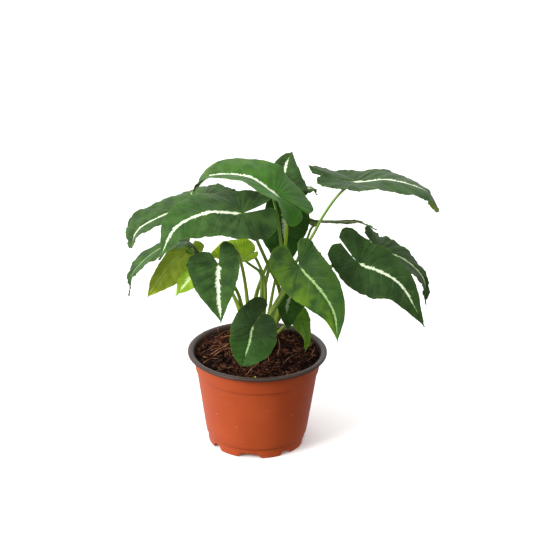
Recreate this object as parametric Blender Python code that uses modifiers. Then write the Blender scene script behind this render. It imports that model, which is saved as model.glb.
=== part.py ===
"""Potted arrowhead plant: a thin plastic nursery pot, soil, five clustered shoots and their leaf blades.

Units are metres with +Z up. The origin is the centre of the pot's foot, on the ground.
Places in the plant's own tables are in millimetres in that frame, with -Y towards the viewer.
"""

import math
from dataclasses import dataclass

import bmesh
import bpy
import numpy as np
from mathutils import Matrix, Vector, noise

MM = 0.001

# Pot: a thermoformed shell with a flat lip, a stepped collar and a notched foot ring
POT_HEIGHT = 84.0 * MM
LIP_RADIUS = 60.0 * MM
LIP_WIDTH = 5.0 * MM
LIP_DROP = 2.6 * MM
WALL = 1.2 * MM
COLLAR_TOP_RADIUS = 55.4 * MM
COLLAR_RADIUS = 53.0 * MM
COLLAR_HEIGHT = 66.0 * MM
BODY_TOP_RADIUS = 51.8 * MM
BODY_FOOT_RADIUS = 43.6 * MM
FOOT_RADIUS = 42.4 * MM
FOOT_HEIGHT = 8.6 * MM
FLOOR_HEIGHT = 6.4 * MM
LEDGE = 1.2 * MM
PAD_RADIUS = 12.0 * MM
PAD_SLOPE = 3.0 * MM
POT_STEPS = 48
NOTCHES = 8
NOTCH_PHASE = math.radians(-98.0)
WIDE_NOTCH = 22.0 * MM
NARROW_NOTCH = 11.0 * MM
NOTCH_HEIGHT = 4.2 * MM
DRAIN_RADIUS = 3.0 * MM
DRAIN_CIRCLE = 31.0 * MM

# Soil: a loose peat and coir fill, mounded a little round the shoots
SOIL_TOP = 81.0 * MM
SOIL_RADIUS = 52.9 * MM
SOIL_EDGE_DROP = 2.2 * MM
SOIL_RISE = 0.06
SOIL_GAP = 0.35 * MM
SOIL_SEGMENTS = 44
SOIL_RINGS = 9
CLOD_HEIGHT = 2.0 * MM
CLOD_SIZE = 11.0 * MM
HOLE_CLEARANCE = 0.45 * MM

# Shoots: short stems with the leaf stalks sunk into them
SHOOT_BOTTOM = 54.0
SHOOT_SIDES = 10
STALK_POINTS = 12
STALK_BEVEL = 1
STALK_BASE_RADIUS = 1.9
STALK_END_RADIUS = 1.0
STALK_KNEE = 4.0
STALK_END = 0.85

# Blades
BLADE_THICKNESS = 0.8 * MM
BLADE_ROWS = 13
BLADE_COLUMNS = 4
VEIN_SWEEP = 0.8
TIP_HALF_WIDTH = 0.9 * MM

# Half of a blade's outline from the back of its lobe to its tip: x is a share of the rib's length (of the way
# to the heel where it is negative) and y a share of the half's width.
HALF_OUTLINE = (
    (-0.88, 0.21),
    (-1.00, 0.48),
    (-0.83, 0.81),
    (-0.38, 0.97),
    (0.05, 1.00),
    (0.30, 0.92),
    (0.54, 0.69),
    (0.75, 0.38),
    (0.91, 0.12),
    (1.00, 0.00),
)


@dataclass(frozen=True)
class Shoot:
    """A stem of the clump: where it leaves the soil, its top and its radius there, in millimetres."""

    base: tuple
    top: tuple
    radius: float


@dataclass(frozen=True)
class Leaf:
    """A blade and its stalk: places in millimetres, angles in degrees.

    rib runs from the sinus to the tip, and heel lies between the ends of the two basal lobes. face is the way
    the upper side looks. Pairs are for the half on the left, then the one on the right, of someone who stands
    on the upper side at the sinus and looks at the tip: width of each half, lobe as a share of the way to the
    heel, fold of each half up from the rib, curl, its further turn up towards the margin, swell, which
    widens the half towards the tip and narrows its lobe, droop, which turns the lobe down, gape, which opens
    the sinus, and close, which folds the half further up towards the tip. blunt rounds the tip, and wave is the
    height of the margin's waves.
    """

    shoot: str
    rib: tuple
    heel: tuple
    face: tuple
    width: tuple
    root: float
    stalk: tuple
    lobe: tuple = (1.0, 1.0)
    fold: tuple = (12, 12)
    curl: tuple = (-12, -12)
    gape: tuple = (1.0, 1.0)
    swell: tuple = (0.0, 0.0)
    droop: tuple = (0, 0)
    close: tuple = (0, 0)
    blunt: float = 0.0
    wave: float = 1.2
    phase: float = 0.0
    thick: float = 1.0


SHOOTS = {
    "left": Shoot((-13, 3), (-13.5, 2.5, 89), 4.0),
    "front": Shoot((-3, -4), (-2.5, -4.5, 89), 3.6),
    "middle": Shoot((-5, 12), (-4.5, 12, 91), 3.8),
    "right": Shoot((4, 17), (5, 16.5, 91), 4.2),
    "far": Shoot((9, 29), (10, 28.5, 89), 3.8),
}

LEAVES = {
    "top": Leaf(
        "right", ((14, -12, 229), (-9, -6, 242), (-40, 4, 239), (-57, 10, 221)), (45, -7, 207),
        (-0.05, -0.1, 1.0), (20, 31), 88,
        ((13, 12, 97), (21, 5, 128), (23, -3, 159), (19, -8, 183), (16, -12, 207)),
        lobe=(0.75, 1.0), fold=(16, 18), curl=(-8, -14), gape=(0.0, 0.0), swell=(-0.3, -0.3), droop=(45, 0),
        blunt=0.4),
    "big_left": Leaf(
        "right", ((-14, -32, 220), (-41, -46, 225), (-66, -58, 216), (-79, -65, 191)), (14, -20, 222),
        (-0.1, -0.45, 0.85), (26, 27), 86,
        ((10, 14, 92), (17, 10, 115), (18, 6, 137), (7, -9, 168), (-4, -22, 198)),
        lobe=(1.0, 1.0), fold=(-6, 2), gape=(0.0, 1.0), swell=(0.0, 0.0), droop=(25, 0), thick=1.25),
    "outer_left": Leaf(
        "middle", ((-45, 18, 215), (-70, 12, 206), (-99, 3, 193), (-108, 0, 176)), (-17, 24, 215),
        (0.05, -0.05, 1.0), (15, 23), 86,
        ((4, 12, 108), (6, 14, 138), (-2, 15, 161), (-15, 17, 182), (-29, 18, 200)),
        fold=(8, 10), swell=(0.0, 0.2), blunt=0.55),
    "low_left": Leaf(
        "left", ((-59, -22, 191), (-81, -26, 186), (-102, -31, 168), (-107, -35, 147)), (-50, -18, 182),
        (-0.2, 0.0, 1.0), (15, 17), 84,
        ((-14, 0, 112), (-20, -3, 133), (-27, -7, 148), (-35, -12, 162), (-45, -16, 171), (-52, -19, 178)),
        fold=(5, 5), droop=(35, 0), thick=0.9),
    "yellow_left": Leaf(
        "left", ((-61, 6, 172), (-73, 3, 162), (-83, -1, 149), (-94, -6, 134)), (-55, 9, 182),
        (-0.49, 0.69, 0.16), (21, 20), 85,
        ((-13, 3, 115), (-19, 2, 139), (-34, 2, 155), (-52, 4, 168)),
        fold=(-14, -12), swell=(0.3, 0.5)),
    "lime_left": Leaf(
        "left", ((-49, -19, 165), (-57, -21, 157), (-63, -24, 150), (-69, -28, 144)), (-43, -17, 169),
        (-0.3, -0.7, 0.6), (11, 10), 87,
        ((-14, -1, 115), (-22, -4, 138), (-32, -9, 152), (-42, -15, 161)),
        lobe=(0.7, 0.5)),
    "heart_left": Leaf(
        "left", ((-32, -52, 183), (-32, -59, 169), (-31, -66, 155), (-29, -72, 140)), (-34, -45, 194),
        (0.0, -0.95, 0.3), (17, 24), 84,
        ((-8, -4, 111), (-10, -15, 145), (-13, -26, 169), (-17, -38, 188), (-24, -46, 193)),
        lobe=(1.3, 0.9), swell=(0.0, -0.15)),
    "lime_middle": Leaf(
        "middle", ((-13, -9, 173), (-23, -10, 174), (-33, -12, 174), (-43, -14, 175)), (-1, -6, 177),
        (0.0, -0.6, 0.8), (9, 18), 88,
        ((0, 9, 105), (3, 5, 135), (2, 0, 154), (-7, -5, 164)),
        gape=(0.0, 0.0), fold=(30, 5)),
    "heart_right": Leaf(
        "front", ((34, -34, 175), (50, -45, 160), (62, -54, 143), (66, -62, 120)), (27, -26, 193),
        (0.1, -0.9, 0.4), (20, 23), 84,
        ((2, -9, 96), (10, -15, 120), (21, -21, 143), (28, -27, 161))),
    "upper_right": Leaf(
        "front", ((77, 0, 237), (107, -6, 241), (138, -11, 233), (148, -15, 217)), (39, 6, 244),
        (0.0, 0.0, 1.0), (27, 24), 86,
        ((4, -6, 97), (11, -10, 123), (23, -12, 148), (32, -11, 171), (44, -9, 191), (55, -6, 212), (68, -2, 229)),
        lobe=(1.0, 0.75), fold=(8, 5), gape=(0.0, 0.0), swell=(0.35, 0.3), droop=(0, 15), close=(-45, -12),
        blunt=0.2, thick=1.1),
    "lower_right": Leaf(
        "far", ((84, -10, 169), (101, -16, 164), (120, -23, 153), (140, -30, 120)), (67, -2, 188),
        (0.25, -0.75, 0.6), (22, 26), 84,
        ((17, 20, 102), (29, 12, 125), (46, 5, 147), (61, -1, 162), (73, -6, 168)),
        fold=(8, 2), gape=(0.0, 0.4), swell=(0.1, 0.35), lobe=(1.15, 0.95), thick=0.9),
    "outer_right": Leaf(
        "far", ((102, 18, 170), (123, 16, 163), (141, 14, 146), (145, 12, 122)), (86, 24, 183),
        (0.5, -0.3, 0.8), (19, 20), 85,
        ((16, 25, 102), (31, 19, 125), (51, 17, 146), (70, 17, 158), (86, 18, 166)),
        fold=(6, 8), swell=(-0.35, 0.0), thick=0.9),
    "flat_right": Leaf(
        "far", ((49, 39, 188), (67, 42, 187), (85, 43, 186), (102, 41, 180)), (38, 41, 187),
        (0.0, 0.42, 0.9), (18, 12), 86,
        ((16, 28, 107), (27, 27, 128), (36, 31, 152), (41, 35, 170), (45, 38, 181)),
        fold=(0, 0), thick=0.9),
    "tip_up": Leaf(
        "right", ((24, 26, 215), (21, 38, 223), (22, 50, 232), (27, 62, 242)), (27, 20, 205),
        (0.0, -0.6, 0.8), (16, 18), 89,
        ((9, 20, 105), (14, 28, 134), (20, 33, 160), (24, 33, 185), (25, 31, 203)),
        lobe=(0.4, 0.4), blunt=0.35, thick=0.8),
    "behind_right": Leaf(
        "middle", ((35, 36, 216), (41, 42, 216), (46, 46, 214), (50, 50, 208)), (28, 32, 214),
        (0.2, 0.0, 1.0), (8, 8), 88,
        ((2, 18, 117), (11, 24, 155), (24, 26, 184), (32, 32, 208))),
    "hanging": Leaf(
        "middle", ((21, 20, 202), (22, 22, 185), (22, 23, 167), (20, 20, 144)), (22, 16, 216),
        (0.05, -0.95, 0.2), (22, 21), 87,
        ((-3, 17, 120), (5, 21, 147), (14, 25, 166), (19, 28, 187)),
        fold=(8, 8), swell=(0.0, 0.4)),
    "front": Leaf(
        "front", ((-3, -40, 124), (-6, -44, 112), (-9, -49, 103), (-12, -54, 93)), (12, -31, 143),
        (0.1, -0.8, 0.6), (22, 18), 83,
        ((-2, -10, 95), (-3, -22, 115), (-3, -33, 122)),
        lobe=(0.6, 0.9), fold=(12, 12), gape=(0.0, 0.0), swell=(0.1, 0.1), blunt=0.45),
    "inner_right": Leaf(
        "far", ((28, -2, 136), (25, -3, 126), (25, -4, 115), (26, -5, 104)), (33, 0, 147),
        (0.2, -0.95, 0.1), (16, 10), 83,
        ((18, 18, 108), (26, 8, 127))),
    "low_right": Leaf(
        "right", ((35, 10, 111), (39, 7, 103), (42, 2, 94), (42, -4, 84)), (28, 13, 120),
        (0.6, -0.7, 0.2), (9, 10), 86,
        ((16, 13, 93), (23, 10, 101))),
}

# Young blades, still yellow-green
YOUNG_LEAVES = ("yellow_left", "lime_left", "lime_middle", "low_right")

# A young leaf, still rolled up, on the same shoot: the line of its middle
SPEAR_SHOOT = "right"
SPEAR = ((6, 16, 88), (12, 15, 103), (20, 11, 134), (22, 9, 165), (23, 9, 182), (24, 9, 200))
SPEAR_RADIUS = 1.0


def mm(point):
    """A place of the tables, in metres."""
    return np.array(point, float) * MM


def unit(vector):
    """The vector at length one."""
    return vector / np.linalg.norm(vector)


def spline(points, at):
    """Catmull-Rom curve through points, read at each number of at, which counts points from 0."""
    points = np.array(points, float)
    padded = np.vstack([2 * points[0] - points[1], points, 2 * points[-1] - points[-2]])
    at = np.clip(np.asarray(at, float), 0, len(points) - 1)
    first = np.minimum(at.astype(int), len(points) - 2)
    t = (at - first)[:, None]
    a, b, c, d = (padded[first + k] for k in range(4))
    return 0.5 * (2 * b + (c - a) * t + (2 * a - 5 * b + 4 * c - d) * t**2 + (3 * b - a - 3 * c + d) * t**3)


def path_points(points, count):
    """count places evenly spread by point number along the curve through points."""
    return spline(points, np.linspace(0, len(points) - 1, count))


def blade_plan(leaf, s, v):
    """Flat leaf coordinates: s runs from the lobe's back to the tip and v across, from -1 to 1.

    Gives where on the midline the point belongs (0 at the heel, 1 at the sinus, 4 at the tip) and how far
    from the midline it lies, in metres.
    """
    left = v > 0
    lobe = np.where(left, *leaf.lobe)
    margin = spline(HALF_OUTLINE, s * (len(HALF_OUTLINE) - 1))
    behind = margin[:, 0] < 0
    place = np.where(behind, margin[:, 0] * lobe, margin[:, 0] * 3)
    shaped = 1 + np.where(left, *leaf.swell) * np.clip((margin[:, 0] - 0.25) * 2, -0.5, 1)
    half = np.maximum(margin[:, 1], 0) ** np.where(behind, 1, 1 - leaf.blunt)
    closed = 0.2 * (1 - np.where(left, *leaf.gape)) * np.clip(1 - 3 * s, 0, 1)
    away = (half - closed) * shaped * np.where(left, *leaf.width) * MM
    away = np.maximum(away, TIP_HALF_WIDTH)
    start = np.clip(place - VEIN_SWEEP * margin[:, 1], 0, 3)
    across = np.abs(v)
    return 1 + start + (place - start) * across, away * across


def turned_run(angle, bend, distance):
    """How far out and up a strip of that length reaches, starting at angle and turning by bend per unit."""
    bend = np.where(np.abs(bend) < 1e-4, 1e-4, bend)
    end = angle + bend * distance
    return (np.sin(end) - np.sin(angle)) / bend, (np.cos(angle) - np.cos(end)) / bend


def midline(leaf, at):
    """Places in metres and unit tangents on a leaf's midline, from its heel at 0 to its tip at 4."""
    points = mm((leaf.heel, *leaf.rib))
    beyond = np.clip(-at, 0, None)[:, None] * (points[0] - points[1])
    step = 0.02
    near = np.clip(at, step, 4 - step)
    tangent = spline(points, near + step) - spline(points, near - step)
    return spline(points, at) + beyond, tangent / np.linalg.norm(tangent, axis=1)[:, None]


def blade_frame(leaf, at):
    """Midline places, unit tangents, and the sideways and upward directions of the blade there."""
    middle, tangent = midline(leaf, at)
    face = unit(np.array(leaf.face, float))
    lift = face - (tangent @ face)[:, None] * tangent
    lift /= np.linalg.norm(lift, axis=1)[:, None]
    return middle, np.cross(lift, tangent), lift


def blade_surface(leaf, s, v):
    """Places in metres of the points (s, v) of a leaf's middle surface."""
    at, away = blade_plan(leaf, s, v)
    middle, side, lift = blade_frame(leaf, at)
    left = v > 0
    fold = np.where(left, *leaf.fold) + np.where(left, *leaf.close) * np.clip((at - 1) / 3, 0, 1) ** 2
    fold = np.radians(fold - np.where(left, *leaf.droop) * np.clip(2 - 2 * at, 0, 1))
    bend = np.radians(np.where(left, *leaf.curl)) / (np.where(left, *leaf.width) * MM)
    out, rise = turned_run(fold, bend, away)
    ripple = leaf.wave * MM * v**2 * np.sin(s * 17 + leaf.phase + np.where(left, 0, 2.1))
    return middle + side * (out * np.sign(v))[:, None] + lift * (rise + ripple)[:, None]


def shoot_axis(shoot, height):
    """The place on a shoot's axis at that height in millimetres, in metres."""
    soil = np.array([*shoot.base, SOIL_TOP / MM])
    lean = (np.array(shoot.top, float) - soil) / (shoot.top[2] - soil[2])
    return (soil + lean * (height - soil[2])) * MM


def stalk_path(leaf):
    """The leaf stalk's centreline, in metres: from inside its shoot to a knee that meets the blade from below."""
    root = shoot_axis(SHOOTS[leaf.shoot], leaf.root) / MM
    _, _, lift = blade_frame(leaf, np.array([1.0]))
    knee, end = (np.array(leaf.rib[0]) - lift[0] * below for below in (STALK_KNEE, STALK_END))
    return np.vstack([path_points([root, *leaf.stalk, knee], STALK_POINTS), end]) * MM


def material(name, colour, roughness, metallic=0.0):
    """A Principled material; colour is a linear RGB."""
    made = bpy.data.materials.new(name)
    made.use_nodes = True
    shader = made.node_tree.nodes["Principled BSDF"]
    shader.inputs["Base Color"].default_value = (*colour, 1.0)
    shader.inputs["Roughness"].default_value = roughness
    shader.inputs["Metallic"].default_value = metallic
    made.diffuse_color = (*colour, 1.0)
    return made


def collection(name):
    """A new collection in the scene."""
    made = bpy.data.collections.new(name)
    bpy.context.scene.collection.children.link(made)
    return made


def mesh_object(name, bm, target):
    """An object in the target collection that takes over the bmesh."""
    mesh = bpy.data.meshes.new(name)
    bm.to_mesh(mesh)
    bm.free()
    made = bpy.data.objects.new(name, mesh)
    target.objects.link(made)
    return made


def turned(name, profile, steps, target):
    """A solid of revolution: the profile of (radius, height) pairs with a Screw modifier."""
    mesh = bpy.data.meshes.new(name)
    edges = [(i, i + 1) for i in range(len(profile) - 1)]
    mesh.from_pydata([(radius, 0, height) for radius, height in profile], edges, [])
    made = bpy.data.objects.new(name, mesh)
    target.objects.link(made)
    screw = made.modifiers.new("Turn", "SCREW")
    screw.steps = screw.render_steps = steps
    screw.use_merge_vertices = True
    screw.merge_threshold = 0.00001
    return made


def baked(obj):
    """The object with its modifiers applied, as a plain mesh."""
    graph = bpy.context.evaluated_depsgraph_get()
    mesh = bpy.data.meshes.new_from_object(obj.evaluated_get(graph))
    made = bpy.data.objects.new(obj.name, mesh)
    made.matrix_world = obj.matrix_world
    obj.users_collection[0].objects.link(made)
    name = obj.name
    bpy.data.objects.remove(obj)
    made.name = name
    bm = bmesh.new()
    bm.from_mesh(mesh)
    bmesh.ops.remove_doubles(bm, verts=bm.verts, dist=0.00001)
    bm.to_mesh(mesh)
    bm.free()
    return made


def pot_profile():
    """The pot's wall in section, from the axis up the inside, over the lip and down the outside to the axis.

    The middle of the raised floor is a pad that stands on the ground with the foot ring.
    """
    inner = [
        (0, WALL),
        (PAD_RADIUS - 0.4 * MM, WALL),
        (PAD_RADIUS - 0.4 * MM + PAD_SLOPE, FLOOR_HEIGHT + WALL),
        (BODY_FOOT_RADIUS - WALL - LEDGE, FLOOR_HEIGHT + WALL),
        (BODY_FOOT_RADIUS - WALL, FOOT_HEIGHT + WALL),
        (BODY_TOP_RADIUS - WALL, COLLAR_HEIGHT - LEDGE),
        (COLLAR_RADIUS - WALL, COLLAR_HEIGHT + LEDGE / 2),
        (LIP_RADIUS - LIP_WIDTH - 0.4 * MM, POT_HEIGHT - 1.4 * MM),
        (LIP_RADIUS - LIP_WIDTH, POT_HEIGHT - 0.4 * MM),
        (LIP_RADIUS - LIP_WIDTH + 0.8 * MM, POT_HEIGHT),
    ]
    lip = [
        (LIP_RADIUS - 1.2 * MM, POT_HEIGHT),
        (LIP_RADIUS - 0.3 * MM, POT_HEIGHT - 0.4 * MM),
        (LIP_RADIUS, POT_HEIGHT - 1.2 * MM),
        (LIP_RADIUS, POT_HEIGHT - LIP_DROP),
        (LIP_RADIUS - WALL, POT_HEIGHT - LIP_DROP),
        (LIP_RADIUS - WALL, POT_HEIGHT - WALL - 0.4 * MM),
        (COLLAR_TOP_RADIUS + 0.6 * MM, POT_HEIGHT - WALL - 0.4 * MM),
        (COLLAR_TOP_RADIUS, POT_HEIGHT - WALL - 1.2 * MM),
    ]
    outer = [
        (COLLAR_RADIUS, COLLAR_HEIGHT),
        (BODY_TOP_RADIUS, COLLAR_HEIGHT - LEDGE),
        (BODY_FOOT_RADIUS, FOOT_HEIGHT + 0.5 * MM),
        (FOOT_RADIUS, FOOT_HEIGHT - 0.3 * MM),
        (FOOT_RADIUS - 0.3 * MM, 0.6 * MM),
        (FOOT_RADIUS - 0.8 * MM, 0),
        (FOOT_RADIUS - WALL - 0.4 * MM, 0),
        (FOOT_RADIUS - WALL - 0.6 * MM, FLOOR_HEIGHT),
        (PAD_RADIUS + PAD_SLOPE, FLOOR_HEIGHT),
        (PAD_RADIUS, 0),
        (0, 0),
    ]
    return inner + lip + outer


def wedge_cutter(name, angle, width, target):
    """A block that narrows upwards, to cut a drainage notch through the foot ring."""
    depth = 12 * MM
    bm = bmesh.new()
    bmesh.ops.create_cube(bm, size=1.0)
    for vert in bm.verts:
        narrow = 0.55 if vert.co.z > 0 else 1.0
        below = 2 * MM if vert.co.z < 0 else 0
        vert.co = (vert.co.x * depth, vert.co.y * width * narrow, (vert.co.z + 0.5) * NOTCH_HEIGHT - below)
    cutter = mesh_object(name, bm, target)
    cutter.matrix_world = Matrix.Rotation(angle, 4, "Z") @ Matrix.Translation((FOOT_RADIUS, 0, 0))
    return cutter


def drain_cutter(name, angle, circle, target):
    """A cylinder through the pot's floor."""
    bm = bmesh.new()
    bmesh.ops.create_cone(bm, cap_ends=True, segments=12, radius1=DRAIN_RADIUS, radius2=DRAIN_RADIUS,
                          depth=8 * MM)
    cutter = mesh_object(name, bm, target)
    cutter.matrix_world = Matrix.Rotation(angle, 4, "Z") @ Matrix.Translation((circle, 0, FLOOR_HEIGHT))
    return cutter


def hide_cutters(cutters):
    """Cutters are helpers: wire in the viewport and left out of renders."""
    cutters.hide_render = True
    for cutter in cutters.objects:
        cutter.hide_render = True
        cutter.display_type = "WIRE"


def cut(obj, cutters):
    """Takes every cutter of the collection out of the object."""
    boolean = obj.modifiers.new("Cut", "BOOLEAN")
    boolean.operation = "DIFFERENCE"
    boolean.operand_type = "COLLECTION"
    boolean.collection = cutters


def make_pot(target):
    """The nursery pot: its shell, drainage notches and drain holes."""
    pot = turned("pot", pot_profile(), POT_STEPS, target)
    pot.data.materials.append(material("thermoformed_terracotta_plastic", (0.55, 0.11, 0.035), 0.5))
    cutters = collection("pot_cutters")
    for i in range(NOTCHES):
        angle = NOTCH_PHASE + i * math.tau / NOTCHES
        wedge_cutter(f"notch_cutter_{i + 1}", angle, NARROW_NOTCH if i % 2 else WIDE_NOTCH, cutters)
        drain_cutter(f"drain_cutter_{i + 1}", angle, DRAIN_CIRCLE, cutters)
    hide_cutters(cutters)
    cut(pot, cutters)
    return pot


def soil_height(x, y):
    """Height of the soil's surface: a low mound with clods, a little higher towards the back."""
    reach = math.hypot(x, y) / COLLAR_RADIUS
    here = Vector((x / CLOD_SIZE, y / CLOD_SIZE, 0))
    clods = noise.noise(here) + 0.6 * noise.noise(here * 2.3 + Vector((7, 3, 0)))
    return SOIL_TOP - SOIL_EDGE_DROP * reach**2 + SOIL_RISE * y + CLOD_HEIGHT * clods


def make_soil(target):
    """The soil: a plug that follows the pot's inside, with a clodded top and a hole for each shoot."""
    rings = [(SOIL_RADIUS * ring / SOIL_RINGS, SOIL_TOP) for ring in range(SOIL_RINGS + 1)]
    sides = [
        (COLLAR_RADIUS - WALL - SOIL_GAP, COLLAR_HEIGHT + LEDGE),
        (BODY_TOP_RADIUS - WALL - SOIL_GAP, COLLAR_HEIGHT - LEDGE),
        (BODY_FOOT_RADIUS - WALL - SOIL_GAP, FOOT_HEIGHT + WALL),
        (BODY_FOOT_RADIUS - WALL - LEDGE - SOIL_GAP, FLOOR_HEIGHT + WALL + SOIL_GAP),
        (PAD_RADIUS - 0.6 * MM + PAD_SLOPE, FLOOR_HEIGHT + WALL + SOIL_GAP),
        (PAD_RADIUS - 0.8 * MM, WALL + SOIL_GAP),
        (0, WALL + SOIL_GAP),
    ]
    soil = baked(turned("soil", rings + sides, SOIL_SEGMENTS, target))
    for vert in soil.data.vertices:
        if vert.co.z > SOIL_TOP - 0.01 * MM:
            vert.co.z = soil_height(vert.co.x, vert.co.y)
    soil.data.materials.append(material("peat_and_coir_soil", (0.03, 0.014, 0.008), 0.95))
    cutters = collection("soil_cutters")
    for name, shoot in SHOOTS.items():
        bottom, top = shoot_axis(shoot, SHOOT_BOTTOM), shoot_axis(shoot, shoot.top[2])
        radius = shoot.radius * MM + HOLE_CLEARANCE
        hole = rod(f"hole_cutter_{name}", bottom - unit(top - bottom) * HOLE_CLEARANCE, top, radius, cutters)
        hole.data.materials.clear()
    hide_cutters(cutters)
    cut(soil, cutters)
    return soil


def rod(name, start, end, radius, target, end_radius=None):
    """A straight round bar between two places, which may taper."""
    start, end = Vector(start), Vector(end)
    axis = end - start
    bm = bmesh.new()
    bmesh.ops.create_cone(bm, cap_ends=True, segments=SHOOT_SIDES, radius1=radius,
                          radius2=end_radius or radius, depth=axis.length)
    made = mesh_object(name, bm, target)
    made.matrix_world = Matrix.Translation((start + end) / 2) @ axis.to_track_quat("Z", "Y").to_matrix().to_4x4()
    return made


def make_tube(name, points, radii, target):
    """A tapering tube on a POLY curve, made a closed mesh. Places in metres, radii in millimetres."""
    curve = bpy.data.curves.new(name, "CURVE")
    curve.dimensions = "3D"
    curve.bevel_depth = MM
    curve.bevel_resolution = STALK_BEVEL
    curve.use_fill_caps = True
    line = curve.splines.new("POLY")
    line.points.add(len(points) - 1)
    for point, place, radius in zip(line.points, points, radii):
        point.co = (*place, 1)
        point.radius = radius
    made = bpy.data.objects.new(name, curve)
    target.objects.link(made)
    return baked(made)


def make_stalk(name, leaf, target):
    """A leaf's stalk, thicker towards its shoot."""
    share = np.linspace(0, 1, STALK_POINTS + 1)
    radii = leaf.thick * (STALK_BASE_RADIUS + (STALK_END_RADIUS - STALK_BASE_RADIUS) * share**0.7)
    return make_tube(name, stalk_path(leaf), radii, target)


def make_spear(target):
    """The rolled young leaf: a slim spindle that ends in a point."""
    radii = SPEAR_RADIUS * np.append(np.linspace(1.2, 1.0, STALK_POINTS - 1), 0.25)
    return make_tube("spear", path_points(SPEAR, STALK_POINTS) * MM, radii, target)


def fuse(obj, others):
    """Joins every object of the collection to obj by one union, applies it and removes them."""
    boolean = obj.modifiers.new("Fuse", "BOOLEAN")
    boolean.operation = "UNION"
    boolean.operand_type = "COLLECTION"
    boolean.collection = others
    made = baked(obj)
    for other in list(others.objects):
        bpy.data.objects.remove(other)
    bpy.data.collections.remove(others)
    return made


def make_shoot(name, shoot, target, look):
    """One stem of the clump with the stalks of its leaves."""
    bottom, top = shoot_axis(shoot, SHOOT_BOTTOM), shoot_axis(shoot, shoot.top[2])
    stem = rod(f"shoot_{name}", bottom, top, shoot.radius * MM, target, 0.8 * shoot.radius * MM)
    stalks = collection(f"stalks_{name}")
    for leaf_name, leaf in LEAVES.items():
        if leaf.shoot == name:
            make_stalk(f"stalk_{leaf_name}", leaf, stalks)
    if name == SPEAR_SHOOT:
        make_spear(stalks)
    made = fuse(stem, stalks)
    made.data.materials.clear()
    made.data.materials.append(look)
    made.data.shade_smooth()
    return made


def make_blade(name, leaf, target, look):
    """One leaf blade: a grid shaped by the leaf's formula, triangulated alike on both faces by Solidify."""
    bm = bmesh.new()
    bmesh.ops.create_grid(bm, x_segments=BLADE_ROWS, y_segments=2 * BLADE_COLUMNS, size=1.0)
    flat = np.array([vert.co[:] for vert in bm.verts])
    placed = blade_surface(leaf, (flat[:, 0] + 1) / 2, flat[:, 1])
    for vert, place in zip(bm.verts, placed):
        vert.co = place
    bmesh.ops.remove_doubles(bm, verts=bm.verts, dist=0.00002)
    bmesh.ops.triangulate(bm, faces=bm.faces)
    blade = mesh_object(f"leaf_{name}", bm, target)
    blade.data.materials.append(look)
    solidify = blade.modifiers.new("Thickness", "SOLIDIFY")
    solidify.thickness = BLADE_THICKNESS
    solidify.offset = 0.0
    blade.data.shade_smooth()
    return blade


def main():
    for obj in list(bpy.data.objects):
        bpy.data.objects.remove(obj)
    plant = collection("potted_arrowhead_plant")
    pot = make_pot(plant)
    pot.data.shade_smooth()
    pot.data.set_sharp_from_angle(angle=math.radians(35))
    make_soil(plant)
    stalk_green = material("stalk_green", (0.16, 0.26, 0.05), 0.5)
    blade_green = material("velvet_blade_green", (0.04, 0.11, 0.03), 0.65)
    young_green = material("young_blade_green", (0.27, 0.4, 0.03), 0.55)
    for name, shoot in SHOOTS.items():
        make_shoot(name, shoot, plant, stalk_green)
    for name, leaf in LEAVES.items():
        make_blade(name, leaf, plant, young_green if name in YOUNG_LEAVES else blade_green)


main()
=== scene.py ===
"""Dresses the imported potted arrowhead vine: leaf blades, stalks, soil, pot, stage and camera.

Lengths in the plant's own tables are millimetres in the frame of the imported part: the origin is the centre of
the pot's foot on the ground, +Z is up and -Y is towards the viewer. Everything that is built is in metres.
"""

import math
from dataclasses import dataclass
from functools import partial

import bmesh
import bpy
import numpy as np
from bpy.props import FloatProperty, FloatVectorProperty, IntProperty, PointerProperty
from mathutils import Matrix, Vector, noise


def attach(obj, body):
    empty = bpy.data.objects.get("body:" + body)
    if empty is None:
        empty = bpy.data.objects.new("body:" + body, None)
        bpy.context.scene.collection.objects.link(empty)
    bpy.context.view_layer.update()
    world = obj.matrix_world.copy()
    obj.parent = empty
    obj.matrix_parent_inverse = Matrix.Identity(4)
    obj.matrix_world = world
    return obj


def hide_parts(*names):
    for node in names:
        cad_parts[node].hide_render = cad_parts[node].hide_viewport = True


bl_info = {
    "name": "Potted Arrowhead Vine",
    "version": (1, 0, 0),
    "blender": (4, 5, 0),
    "location": "3D Viewport > Sidebar > Plant",
    "description": "Builds the leaves, stalks, soil and pot of a potted vine round its packed solids",
    "category": "Object",
}

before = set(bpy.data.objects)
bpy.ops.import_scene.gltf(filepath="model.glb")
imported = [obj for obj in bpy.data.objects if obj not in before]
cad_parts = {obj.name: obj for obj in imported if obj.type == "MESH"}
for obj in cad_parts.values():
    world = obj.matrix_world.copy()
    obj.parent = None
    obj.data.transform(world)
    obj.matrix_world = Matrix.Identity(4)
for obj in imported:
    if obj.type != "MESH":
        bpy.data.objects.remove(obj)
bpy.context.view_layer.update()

MM = 0.001
BODY = "root"

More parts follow.
